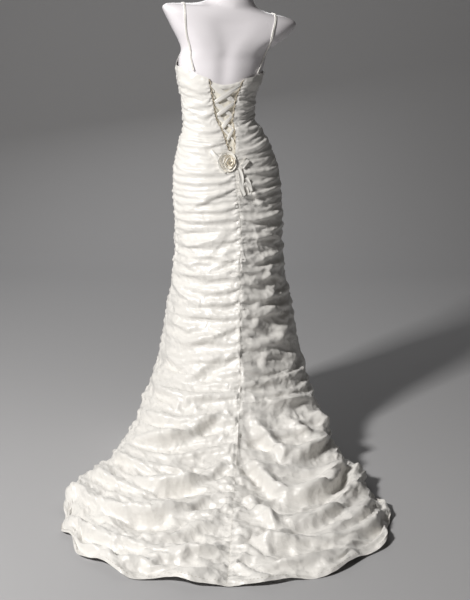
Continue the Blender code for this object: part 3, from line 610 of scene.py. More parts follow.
def wrapped(angle: Array) -> Array:
    """The same direction as an angle from -180 to 180."""
    return (angle + 180.0) % 360.0 - 180.0


def unit(vectors: Array) -> Array:
    """Vectors scaled to length 1."""
    return vectors / np.maximum(np.linalg.norm(vectors, axis=-1, keepdims=True), 1e-12)


class LatticeNoise:
    """Smooth noise from -1 to 1: random values on a unit lattice, blended with quintic weights."""

    SIZE = 128

    def __init__(self, seed: int) -> None:
        """Draw the lattice's values."""
        self.values = np.random.default_rng(seed).uniform(-1.0, 1.0, (self.SIZE, self.SIZE))

    def __call__(self, u: Array, v: Array) -> Array:
        """Noise at places on the lattice."""
        i = np.floor(u).astype(int)
        j = np.floor(v).astype(int)
        s = u - i
        t = v - j
        s = s * s * s * (s * (6.0 * s - 15.0) + 10.0)
        t = t * t * t * (t * (6.0 * t - 15.0) + 10.0)
        a, b = i % self.SIZE, (i + 1) % self.SIZE
        c, d = j % self.SIZE, (j + 1) % self.SIZE
        first = self.values[a, c] * (1 - s) + self.values[b, c] * s
        second = self.values[a, d] * (1 - s) + self.values[b, d] * s
        return first * (1 - t) + second * t


class CrushedCells:
    """Facets of crushed cloth: distance to the nearest of one uneven point in each unit cell."""

    SIZE = 64
    ROUND = 0.16                # rounds the middle of a facet

    def __init__(self, seed: int) -> None:
        """Draw the points and how far each one stands back."""
        draw = np.random.default_rng(seed)
        self.places = draw.uniform(0.0, 1.0, (self.SIZE, self.SIZE, 2))
        self.rises = draw.uniform(-0.25, 0.25, (self.SIZE, self.SIZE))

    def __call__(self, u: Array, v: Array) -> Array:
        """Distances less their middle, so that ridges lie where two facets meet."""
        i = np.floor(u).astype(int)
        j = np.floor(v).astype(int)
        nearest = np.full(u.shape, 9.0)
        for a in (-1, 0, 1):
            for b in (-1, 0, 1):
                cell = ((i + a) % self.SIZE, (j + b) % self.SIZE)
                away = (i + a + self.places[cell][..., 0] - u, j + b + self.places[cell][..., 1] - v)
                nearest = np.minimum(nearest, np.hypot(np.hypot(*away), self.ROUND) + self.rises[cell])
        return nearest - 0.42


class GownSurface:
    """The gown's base surface in angle and down, the same as that of its solids."""

    HALF_TURN = 0.5             # degrees and metres to each side of a point, for its normal
    HALF_STEP = 0.004

    def __init__(self) -> None:
        """Make the curves through the tables."""
        self.half_width, self.back, self.front, self.centre, self.turn = curves(SECTIONS).values()
        self.hem_left, self.hem_right, self.hem_y = curves(HEM).values()
        spread = curves(SPREAD)
        self.out = [spread[f"{side}_out"] for side in ("back", "side", "front")]
        self.height = [spread[f"{side}_height"] for side in ("back", "side", "front")]
        self.rises = curves(RISES)
        self.opening = curves(OPENING)["half_width"]

    def around(self, angle: Array, back: Array, side: Array, front: Array) -> Array:
        """Blend of three values round the gown, from the centre back by the side to the front."""
        turn = np.abs(wrapped(angle))
        rear = back + (side - back) * smooth_step(0.0, SIDE, turn)
        fore = side + (front - side) * smooth_step(SIDE, 180.0, turn)
        return np.where(turn <= SIDE, rear, fore)

    def section_point(self, angle: Array, height: Array) -> Array:
        """Point of the horizontal section at a height: a turned ellipse with two depths."""
        direction = np.radians(angle)
        depth = np.where(np.cos(direction) > 0.0, self.back(height), self.front(height))
        x = self.half_width(height) * np.sin(direction)
        y = depth * np.cos(direction)
        turn = np.radians(self.turn(height))
        return np.stack((x * np.cos(turn) - y * np.sin(turn) + self.centre(height),
                         x * np.sin(turn) + y * np.cos(turn), height), axis=-1)

    def hem_point(self, angle: Array) -> Array:
        """Point of the hem's outline on the floor."""
        turn = wrapped(angle)
        x = np.where(turn >= 0.0, self.hem_left(turn), -self.hem_right(-turn))
        return np.stack((x, self.hem_y(np.abs(turn)), np.zeros_like(x)), axis=-1)

    def climb(self, angle: Array, down: Array) -> Array:
        """Height that a line round the bodice has gained over its place at the centre back."""
        side = np.where(wrapped(angle) >= 0.0, self.rises["left"](down), self.rises["right"](down))
        bust = self.rises["bust"](down)
        turn = np.abs(wrapped(angle))
        rear = side * smooth_step(0.0, SIDE, turn)
        flank = side + (bust - side) * smooth_step(SIDE, BUST_ANGLE, turn)
        fore = bust + (self.rises["front"](down) - bust) * smooth_step(BUST_ANGLE, 180.0, turn)
        return np.where(turn <= SIDE, rear, np.where(turn <= BUST_ANGLE, flank, fore))

    def point(self, angle: Array, down: Array) -> Array:
        """Points of the base surface.

        Above SPREAD_HEIGHT they lie on horizontal sections. Below it they run on to the hem's
        outline, outwards and down as the spread's stations say.

        Args:
            angle: Degrees round the gown.
            down: Distance down the centre back.

        Returns:
            Points with a last axis of 3.
        """
        angle, down = np.broadcast_arrays(np.asarray(angle, float), np.asarray(down, float))
        upper = self.section_point(angle, BACK_TOP - down + self.climb(angle, down))
        share = np.clip((down - STRAIGHT_LENGTH) / SPREAD_LENGTH, 0.0, 1.0)
        start = self.section_point(angle, np.full_like(angle, SPREAD_HEIGHT))
        out = self.around(angle, *(curve(share) for curve in self.out))[..., None]
        lower = start + (self.hem_point(angle) - start) * out
        lower[..., 2] = self.around(angle, *(curve(share) for curve in self.height))
        return np.where((down <= STRAIGHT_LENGTH)[..., None], upper, lower)

    def normal(self, angle: Array, down: Array) -> Array:
        """Outward normals: the step round the gown crossed with the step down it."""
        angle, down = np.broadcast_arrays(np.asarray(angle, float), np.asarray(down, float))
        sideways = self.point(angle + self.HALF_TURN, down) - self.point(angle - self.HALF_TURN, down)
        upper = np.maximum(down - self.HALF_STEP, 0.0)
        lower = np.minimum(down + self.HALF_STEP, FULL_LENGTH)
        return unit(np.cross(sideways, self.point(angle, lower) - self.point(angle, upper)))

    def opening_angle(self, down: Array) -> Array:
        """Angle from the centre back to the edge of the laced opening, 0 below its foot."""
        down = np.asarray(down, float)
        half = self.opening(down) / self.half_width(BACK_TOP - down)
        return np.where(down < LACING_FOOT, np.degrees(np.arcsin(half)), 0.0)

    def trim_point(self, side: Array, down: Array, offset: Array) -> Array:
        """Point over the opening; side is -1 at its right edge, 0 in the middle and 1 at its left."""
        angle = side * self.opening_angle(down)
        offset = np.broadcast_to(offset, np.broadcast_shapes(np.shape(angle), np.shape(offset)))
        return self.point(angle, down) + self.normal(angle, down) * offset[..., None]


SURFACE = GownSurface()
GATHERED = curves(RUCHING)


# ---- Settling cloth ------------------------------------------------------------------------------

@dataclass
class ClothGrid:
    """Grid of cloth over a base surface, which settles until its threads have their cut lengths.

    Attributes:
        base: Points of the base surface, rows going down and columns round.
        normal: Its outward normals.
        slack_down: Extra length of the threads that go down, as a share.
        slack_across: Extra length of the threads that go across.
        ceiling: The most that the cloth stands off the base surface.
        held: True where the cloth is sewn down.
    """
    base: Array
    normal: Array
    slack_down: Array
    slack_across: Array
    ceiling: Array
    held: Array

    DRAG = 0.90                 # share of its motion that the cloth keeps at each step
    STRAY = 0.009               # the furthest that a point slides along the base surface
    SHEAR = 0.5                 # stiffness of the threads that run aslant
    BEND_DOWN = 0.015           # stiffness against bending of the threads that go down
    BEND_ACROSS = 0.060         # and of those that go across, along the folds

    def coarser(self, stride: int, share: float) -> ClothGrid:
        """The same cloth with every stride-th thread, and a share of its slack."""
        pick = (slice(None, None, stride), slice(None, None, stride))
        return ClothGrid(self.base[pick], self.normal[pick], self.slack_down[pick] * share,
                         self.slack_across[pick] * share, self.ceiling[pick], self.held[pick])

    def ends(self, rows: int, columns: int) -> tuple[tuple[slice, slice], tuple[slice, slice]]:
        """Slices of the first and of the last points of the threads rows down and columns along."""
        height, width = self.base.shape[:2]
        return ((slice(0, height - rows), slice(max(-columns, 0), width - max(columns, 0))),
                (slice(rows, height), slice(max(columns, 0), width + min(columns, 0))))

    def cut_lengths(self, rows: int, columns: int) -> Array:
        """Cut lengths of the threads that join each point to the one rows down and columns along.

        A step over the base surface is split into its part down and its part across, and each part
        is lengthened by its slack.

        Args:
            rows: Rows from the first point to the second.
            columns: Columns between them, negative towards the first edge.

        Returns:
            One length for each pair.
        """
        first, second = self.ends(rows, columns)
        corner = (second[0], first[1])
        down = (self.base[corner] - self.base[first]) * (1.0 + self.slack_down[first])[..., None]
        across = (self.base[second] - self.base[corner]) * (1.0 + self.slack_across[first])[..., None]
        return np.linalg.norm(down + across, axis=-1).astype(np.float32)

    def settle(self, points: Array, steps: int, sag: float) -> Array:
        """Let the cloth settle.

        Each step moves the points on, with drag and a little weight, and then brings each family of
        threads to its cut length, every second thread at a time, so that no point is in two threads
        of one pass. Threads that skip a point resist bending. Last, each point is kept between the
        base surface and the ceiling over it.

        Args:
            points: Where the cloth starts.
            steps: Number of steps.
            sag: Distance that its weight moves a free point in one step.

        Returns:
            Where the cloth comes to rest.
        """
        x = points.astype(np.float32)
        base, normal, ceiling = (
            part.astype(np.float32) for part in (self.base, self.normal, self.ceiling))
        free = np.where(self.held, 0.0, 1.0).astype(np.float32)
        families = ((1, 0, 1.0), (0, 1, 1.0), (1, 1, self.SHEAR), (1, -1, self.SHEAR),
                    (2, 0, self.BEND_DOWN), (0, 2, self.BEND_ACROSS))
        threads = []
        for rows, columns, stiffness in families:
            lengths = self.cut_lengths(rows, columns)
            stride = 2 * max(rows, abs(columns))
            for start in range(stride):
                every = slice(start, None, stride)
                cut = (every, slice(None)) if rows else (slice(None), every)
                threads.append((*self.ends(rows, columns), cut, lengths[cut], stiffness))
        weight = np.array((0.0, 0.0, -sag), dtype=np.float32) * free[..., None]
        before = x.copy()
        for _ in range(steps):
            moved = (x - before) * (self.DRAG * free[..., None]) + weight
            before = x.copy()
            x += moved
            for first, second, cut, lengths, stiffness in threads:
                a = x[first][cut]
                b = x[second][cut]
                free_a = free[first][cut]
                free_b = free[second][cut]
                step = b - a
                long = np.sqrt(np.einsum("ijk,ijk->ij", step, step)) + 1e-9
                pull = stiffness * (long - lengths) / (long * np.maximum(free_a + free_b, 1.0))
                step *= pull[..., None]
                a += step * free_a[..., None]
                b -= step * free_b[..., None]
            offset = x - base
            lift = np.einsum("ijk,ijk->ij", offset, normal)
            slide = offset - normal * lift[..., None]
            far = np.linalg.norm(slide, axis=-1)
            slide *= np.minimum(1.0, self.STRAY / (far + 1e-9))[..., None]
            x[:] = base + slide + normal * np.clip(lift, 0.0, ceiling)[..., None]
            x[..., 2] = np.maximum(x[..., 2], 0.5 * CLOTH_THICKNESS)
        return x.astype(float)


def from_edges(across: Array) -> Array:
    """Distances from the nearer edge of a panel, from those along its rows."""
    return np.minimum(across, across[:, -1:] - across)


def leaning(place: Array, lean: float) -> tuple[Array, Array]:
    """Distances along a direction that leans from the rows by some degrees, and square to it."""
    cosine, sine = math.cos(math.radians(lean)), math.sin(math.radians(lean))
    u, v = place[..., 0], place[..., 1]
    return u * cosine - v * sine, u * sine + v * cosine


def refined(coarse: Array, stride: int, shape: tuple[int, int]) -> Array:
    """Values on a coarse grid, blended linearly to a grid whose threads are stride times closer."""
    rows = np.arange(shape[0]) / stride
    columns = np.arange(shape[1]) / stride
    i = np.minimum(rows.astype(int), coarse.shape[0] - 2)
    j = np.minimum(columns.astype(int), coarse.shape[1] - 2)
    s = (rows - i)[:, None, None]
    t = (columns - j)[None, :, None]
    top = coarse[i][:, j] * (1 - t) + coarse[i][:, j + 1] * t
    foot = coarse[i + 1][:, j] * (1 - t) + coarse[i + 1][:, j + 1] * t
    return top * (1 - s) + foot * s


# ---- Meshes --------------------------------------------------------------------------------------

def placed(name: str, data: bpy.types.ID) -> bpy.types.Object:
    """New object of the scene, at its origin."""
    thing = bpy.data.objects.new(name, data)
    bpy.context.scene.collection.objects.link(thing)
    return thing


def grid_mesh(name: str, points: Array, uv: Array, closed: bool = False) -> bpy.types.Object:
    """Object whose mesh is a grid of quads, with a UV map in metres.

    A quad joins each point with the next column, the next row and both, in the order that makes
    its normal the step along the row crossed with the step down.

    Args:
        name: Name of the piece.
        points: Grid of points, rows by columns by 3.
        uv: Grid of UV places, rows by columns by 2.
        closed: Whether the last column joins the first.

    Returns:
        The new object, smooth shaded.
    """
    rows, columns = points.shape[:2]
    index = np.arange(rows * columns).reshape(rows, columns)
    if closed:
        index = np.concatenate((index, index[:, :1]), axis=1)
        uv = np.concatenate((uv, uv[:, -1:] * 2.0 - uv[:, -2:-1]), axis=1)
    corners = np.stack((index[:-1, :-1], index[:-1, 1:], index[1:, 1:], index[1:, :-1]), axis=-1)
    flat_uv = np.stack((uv[:-1, :-1], uv[:-1, 1:], uv[1:, 1:], uv[1:, :-1]), axis=2)
    count = corners.shape[0] * corners.shape[1]
    mesh = bpy.data.meshes.new(name)
    mesh.vertices.add(rows * columns)
    mesh.vertices.foreach_set("co", points.reshape(-1).astype(np.float32))
    mesh.loops.add(count * 4)
    mesh.loops.foreach_set("vertex_index", corners.reshape(-1).astype(np.int32))
    mesh.polygons.add(count)
    mesh.polygons.foreach_set("loop_start", np.arange(0, count * 4, 4, dtype=np.int32))
    mesh.update(calc_edges=True)
    layer = mesh.uv_layers.new(name="cloth")
    layer.data.foreach_set("uv", flat_uv.reshape(-1).astype(np.float32))
    mesh.shade_smooth()
    mesh.validate()
    return placed(name, mesh)


def thicken(piece: bpy.types.Object, thickness: float, offset: float) -> None:
    """Give cloth its thickness, with crisp cut edges.

    Args:
        piece: Object whose mesh is one layer.
        thickness: Thickness of the cloth.
        offset: Where the layer lies in it: -1 at its outer face, 0 in the middle.
    """
    solid = piece.modifiers.new("thickness", "SOLIDIFY")
    solid.thickness = thickness
    solid.offset = offset
    layer = piece.data
    final = piece.evaluated_get(bpy.context.evaluated_depsgraph_get())
    piece.data = bpy.data.meshes.new_from_object(final)
    piece.modifiers.clear()
    bpy.data.meshes.remove(layer)
    piece.data.name = piece.name
    piece.data.set_sharp_from_angle(angle=CRISP_EDGE)


def measured_uv(points: Array) -> Array:
    """UV places in metres: distances along the rows and down the columns of a grid."""
    across = np.linalg.norm(np.diff(points, axis=1), axis=-1)
    down = np.linalg.norm(np.diff(points, axis=0), axis=-1)
    u = np.concatenate((np.zeros((points.shape[0], 1)), np.cumsum(across, axis=1)), axis=1)
    v = np.concatenate((np.zeros((1, points.shape[1])), np.cumsum(down, axis=0)), axis=0)
    return np.stack((u, v), axis=-1)


def catmull_rom(rows: Array, steps: int) -> Array:
    """Catmull-Rom curves through the rows of an array, with this many steps from row to row."""
    ends = np.concatenate((rows[:1] * 2 - rows[1:2], rows, rows[-1:] * 2 - rows[-2:-1]))
    t = (np.arange(steps) / steps).reshape(1, steps, *(1,) * (rows.ndim - 1))
    a, b, c, d = (ends[k:len(ends) - 3 + k, None] for k in range(4))
    dense = 0.5 * (2 * b + (c - a) * t + (2 * a - 5 * b + 4 * c - d) * t * t
                   + (3 * b - a - 3 * c + d) * t ** 3)
    return np.concatenate((dense.reshape(-1, *rows.shape[1:]), rows[-1:]))


def run_along(path: Array) -> Array:
    """Distance from the start of a path to each of its points."""
    return np.concatenate(([0.0], np.cumsum(np.linalg.norm(np.diff(path, axis=0), axis=-1))))


def at_places(places: Array, run: Array, rows: Array) -> Array:
    """Rows of numbers at places along a run, blended between those given at its points."""
    return np.stack([np.interp(places, run, column) for column in rows.T], axis=-1)


def smooth_path(guide: Array, count: int) -> Array:
    """Points at even steps along a Catmull-Rom curve through the guide's points."""
    dense = catmull_rom(np.asarray(guide, float), 24)
    run = run_along(dense)
    return at_places(np.linspace(0.0, run[-1], count), run, dense)


def tube_points(path: Array, radius: float | Array, sides: int) -> Array:
    """Grid of points round a path: circles square to it, on axes carried along without twist."""
    tangent = unit(np.gradient(path, axis=0))
    side = np.zeros_like(path)
    axis = np.cross(tangent[0], (0.0, 0.0, 1.0))
    if np.linalg.norm(axis) < 0.1:
        axis = np.cross(tangent[0], (1.0, 0.0, 0.0))
    for i, along in enumerate(tangent):
        axis = axis - along * np.dot(axis, along)
        axis /= np.linalg.norm(axis)
        side[i] = axis
    other = np.cross(tangent, side)
    turn = np.linspace(0.0, math.tau, sides, endpoint=False)
    reach = np.broadcast_to(radius, (len(path),))[:, None, None]
    return path[:, None] + reach * (side[:, None] * np.cos(turn)[None, :, None]
                                    + other[:, None] * np.sin(turn)[None, :, None])


# ---- Finishes ------------------------------------------------------------------------------------

class NodeDesk:
    """Short ways to add and join the nodes of one material."""

    def __init__(self, name: str) -> None:
        """Start a material with its Principled shader."""
        self.material = bpy.data.materials.new(name)
        self.material.use_nodes = True
        self.tree = self.material.node_tree
        self.shader = self.tree.nodes["Principled BSDF"]

    def add(self, kind: str, **inputs: object) -> bpy.types.Node:
        """Add a node with its inputs."""
        return self.fill(self.tree.nodes.new(kind), **inputs)

    def fill(self, node: bpy.types.Node, **inputs: object) -> bpy.types.Node:
        """Set a node up; names with a capital are those of its sockets, the others properties."""
        for key, value in inputs.items():
            socket = key.replace("_", " ")
            if socket in node.inputs:
                self.feed(node.inputs[socket], value)
            else:
                setattr(node, key, value)
        return node

    def feed(self, socket: bpy.types.NodeSocket, value: object) -> None:
        """Set a socket to a value, or join it to another node's socket."""
        if isinstance(value, bpy.types.NodeSocket):
            self.tree.links.new(value, socket)
        else:
            socket.default_value = value

    def blend(self, share: bpy.types.NodeSocket, low: tuple, high: tuple) -> bpy.types.NodeSocket:
        """Colour that goes from low to high as a value goes from 0 to 1."""
        ramp = self.add("ShaderNodeValToRGB", Fac=share)
        ramp.color_ramp.elements[0].color = (*low, 1.0)
        ramp.color_ramp.elements[1].color = (*high, 1.0)
        return ramp.outputs["Color"]

    def spread(self, value: bpy.types.NodeSocket, low: float, high: float) -> bpy.types.NodeSocket:
        """A value from 0 to 1 brought to the range from low to high."""
        return self.add("ShaderNodeMapRange", Value=value, To_Min=low, To_Max=high).outputs["Result"]

    def math(self, operation: str, first: object, second: object,
             clamp: bool = False) -> bpy.types.NodeSocket:
        """Result of a sum or product, kept from 0 to 1 if clamped."""
        node = self.add("ShaderNodeMath", operation=operation, use_clamp=clamp)
        self.feed(node.inputs[0], first)
        self.feed(node.inputs[1], second)
        return node.outputs["Value"]

    def bump(self, height: bpy.types.NodeSocket, distance: float, strength: float,
             below: bpy.types.NodeSocket | None = None) -> bpy.types.NodeSocket:
        """Bump of a real height in metres, over another one if given."""
        node = self.add("ShaderNodeBump", Distance=distance, Strength=strength, Height=height)
        if below is not None:
            self.feed(node.inputs["Normal"], below)
        return node.outputs["Normal"]


@dataclass(frozen=True)
class WovenFinish:
    """Woven silk-like cloth: its colours, sheen, thread ribs, slubs and fine crumple.

    Attributes:
        name: Name of the material.
        pale: Colour where it is lightest.
        deep: Colour where it is deepest.
        roughness: Middle roughness.
        crumple: Height of the fine crumple.
        ribs: Height of the thread ribs.
    """
    name: str
    pale: tuple[float, float, float]
    deep: tuple[float, float, float]
    roughness: float
    crumple: float
    ribs: float

    RIB_SPACING = 0.0006
    SLUB_SCALE = (1.0 / 0.030, 900.0, 1.0)      # slubs are 30 mm long and about a thread high
    PLEAT_SCALE = (0.8, 0.8, 1.5)               # the crumple is flatter than it is wide
    BEND = (0.02, 0.02, 0.0)                    # how far the shards' edges stray from straight
    SHARDS = ((16.0, 0.110, 0.024), (-34.0, 0.080, 0.020), (64.0, 0.070, 0.026))    # lean, length, width

    def make(self) -> bpy.types.Material:
        """Build the material on the piece's own UV map, in metres, and its Object coordinates.

        Its bumps lie over each other: ridged crumple, crushed shards in three directions that fade
        out on the bodice, small unevenness, slubs and thread ribs.
        """
        desk = NodeDesk(self.name)
        place = desk.add("ShaderNodeTexCoord").outputs
        tint = desk.add("ShaderNodeTexNoise", Vector=place["Object"], Scale=5.0, Detail=3.0)
        stretch = desk.add("ShaderNodeMapping", Vector=place["UV"], Scale=self.SLUB_SCALE)
        slub = desk.add("ShaderNodeTexNoise", Vector=stretch.outputs["Vector"], Scale=1.0, Detail=2.0)
        rib = desk.add("ShaderNodeTexWave", Vector=place["UV"], wave_type="BANDS", bands_direction="Y",
                       Scale=math.tau / (20.0 * self.RIB_SPACING), Distortion=1.0)
        flatten = desk.add("ShaderNodeMapping", Vector=place["Object"], Scale=self.PLEAT_SCALE)
        facets = desk.add("ShaderNodeTexNoise", Vector=flatten.outputs["Vector"], Scale=17.0, Detail=1.5,
                          Roughness=0.5, Lacunarity=2.3, noise_type="RIDGED_MULTIFRACTAL",
                          Offset=1.0, Gain=2.0)
        drift = desk.add("ShaderNodeTexNoise", Vector=place["Object"], Scale=26.0, Detail=5.0,
                         Roughness=0.55)
        bend = desk.add("ShaderNodeVectorMath", operation="MULTIPLY_ADD")
        for socket, value in zip(bend.inputs, (drift.outputs["Color"], self.BEND, place["UV"])):
            desk.feed(socket, value)
        split = desk.add("ShaderNodeSeparateXYZ", Vector=place["Object"])
        lower = desk.add("ShaderNodeMapRange", Value=split.outputs["Z"], From_Min=1.0, From_Max=0.7,
                         To_Min=0.25, To_Max=1.0)
        bump = desk.bump(facets.outputs["Fac"], self.crumple, 0.8)
        for lean, length, width in self.SHARDS:
            turned = desk.add("ShaderNodeMapping", Vector=bend.outputs["Vector"], vector_type="TEXTURE",
                              Rotation=(0.0, 0.0, math.radians(lean)), Scale=(length, width, 1.0))
            shards = desk.add("ShaderNodeTexVoronoi", Vector=turned.outputs["Vector"], feature="F1",
                              voronoi_dimensions="2D", Scale=1.0)
            crushed = desk.math("MULTIPLY", shards.outputs["Distance"], lower.outputs["Result"])
            bump = desk.bump(crushed, self.crumple * 1.7, 1.0, bump)
        bump = desk.bump(drift.outputs["Fac"], self.crumple * 0.5, 0.5, bump)
        bump = desk.bump(slub.outputs["Fac"], self.ribs, 0.5, bump)
        bump = desk.bump(rib.outputs["Fac"], self.ribs * 0.5, 0.35, bump)
        gloss = desk.spread(slub.outputs["Fac"], self.roughness - 0.07, self.roughness + 0.07)
        desk.fill(desk.shader, Base_Color=desk.blend(tint.outputs["Fac"], self.deep, self.pale),
                  Roughness=gloss, Normal=bump, Sheen_Weight=0.25, Sheen_Roughness=0.45,
                  Specular_IOR_Level=0.55)
        return desk.material


@dataclass(frozen=True)
class PetalFinish:
    """Cream cloth of the flower, with golden brown along the rims of its inner turns."""
    name: str = "rose_cloth"
    petal: tuple[float, float, float] = (0.98, 0.96, 0.91)
    heart: tuple[float, float, float] = (0.97, 0.91, 0.77)
    rim: tuple[float, float, float] = (0.66, 0.48, 0.24)

    COLOUR_A = 6                # places of the colour sockets of a mix node
    MIXED_COLOUR = 2

    def make(self) -> bpy.types.Material:
        """Build the material; the UV map's u is the place along the strip, v 0 at its rim."""
        desk = NodeDesk(self.name)
        place = desk.add("ShaderNodeTexCoord").outputs
        split = desk.add("ShaderNodeSeparateXYZ", Vector=place["UV"]).outputs
        mottle = desk.add("ShaderNodeTexNoise", Vector=place["Object"], Scale=160.0, Detail=4.0)
        mottle = mottle.outputs["Fac"]
        edge = desk.math("ADD", desk.spread(split["Y"], 1.0, -3.0), desk.spread(mottle, -0.5, 0.5))
        fade = desk.math("MULTIPLY", edge, desk.spread(split["X"], 1.0, -0.1), clamp=True)
        mix = desk.add("ShaderNodeMix", data_type="RGBA", Factor=fade)
        desk.feed(mix.inputs[self.COLOUR_A], desk.blend(split["X"], self.heart, self.petal))
        desk.feed(mix.inputs[self.COLOUR_A + 1], (*self.rim, 1.0))
        desk.fill(desk.shader, Base_Color=mix.outputs[self.MIXED_COLOUR],
                  Roughness=desk.spread(mottle, 0.40, 0.60), Normal=desk.bump(mottle, 0.0006, 0.6),
                  Sheen_Weight=0.3)
        return desk.material


@dataclass(frozen=True)
class MouldedFinish:
    """Smooth moulded or painted surface with a faint unevenness."""
    name: str
    colour: tuple[float, float, float]
    shade: tuple[float, float, float]
    roughness: float
    coat: float = 0.0
    metallic: float = 0.0
    grain: float = 14.0

    def make(self) -> bpy.types.Material:
        """Build the material on Object coordinates."""
        desk = NodeDesk(self.name)
        place = desk.add("ShaderNodeTexCoord").outputs
        haze = desk.add("ShaderNodeTexNoise", Vector=place["Object"], Scale=self.grain, Detail=4.0)
        haze = haze.outputs["Fac"]
        desk.fill(desk.shader, Base_Color=desk.blend(haze, self.shade, self.colour),
                  Roughness=desk.spread(haze, self.roughness - 0.04, self.roughness + 0.04),
                  Normal=desk.bump(haze, 0.0004, 0.2), Metallic=self.metallic,
                  Coat_Weight=self.coat, Coat_Roughness=0.12)
        return desk.material


TAFFETA = WovenFinish("taffeta_cloth", (0.87, 0.855, 0.825), (0.84, 0.82, 0.78), 0.35, 0.0014, 0.00012)
SATIN = WovenFinish("satin_cloth", (0.97, 0.95, 0.91), (0.94, 0.92, 0.87), 0.36, 0.0005, 0.00006)
# Thread of the stitches: darker than the ivory cloth, so that the rows of stitches paint a dotted shade
# line along the seams and the hem.
SEAM_SHADE_THREAD = WovenFinish("thread_cloth", (0.58, 0.54, 0.47), (0.50, 0.46, 0.39), 0.50, 0.0001, 0.00005)
LINING = WovenFinish("lining_cloth", (0.97, 0.94, 0.85), (0.94, 0.89, 0.78), 0.50, 0.0005, 0.00008)
# Cord of the loops: tan, partly its own colour and partly painted shade, the brown shadow line along the
# opening's edges.
CORDING_AND_EDGE_SHADE = WovenFinish("cording_cloth", (0.74, 0.66, 0.52), (0.60, 0.50, 0.36), 0.45, 0.0002, 0.00010)
FORM_GLOSS = MouldedFinish("form_gloss_white", (0.91, 0.88, 0.91), (0.88, 0.85, 0.885), 0.26, coat=0.35)
POLE_STEEL = MouldedFinish("pole_brushed", (0.64, 0.64, 0.66), (0.55, 0.55, 0.57), 0.32, metallic=1.0,
                           grain=60.0)
FOOT_PAINT = MouldedFinish("foot_painted", (0.82, 0.82, 0.82), (0.78, 0.78, 0.78), 0.42, coat=0.1,
                           grain=90.0)


def dress(piece: bpy.types.Object, material: bpy.types.Material, slot: str, *nodes: str) -> None:
    """Give a piece its material, its body and the solids that it stands for."""
    piece.data.materials.clear()
    piece.data.materials.append(material)
    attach(piece, "root")
    if nodes:
        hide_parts(*nodes)


# ---- Gown ----------------------------------------------------------------------------------------

class Panel(Enum):
    """Panels of the gown."""
    BACK_LEFT = "back_left"
    FRONT = "front"
    BACK_RIGHT = "back_right"


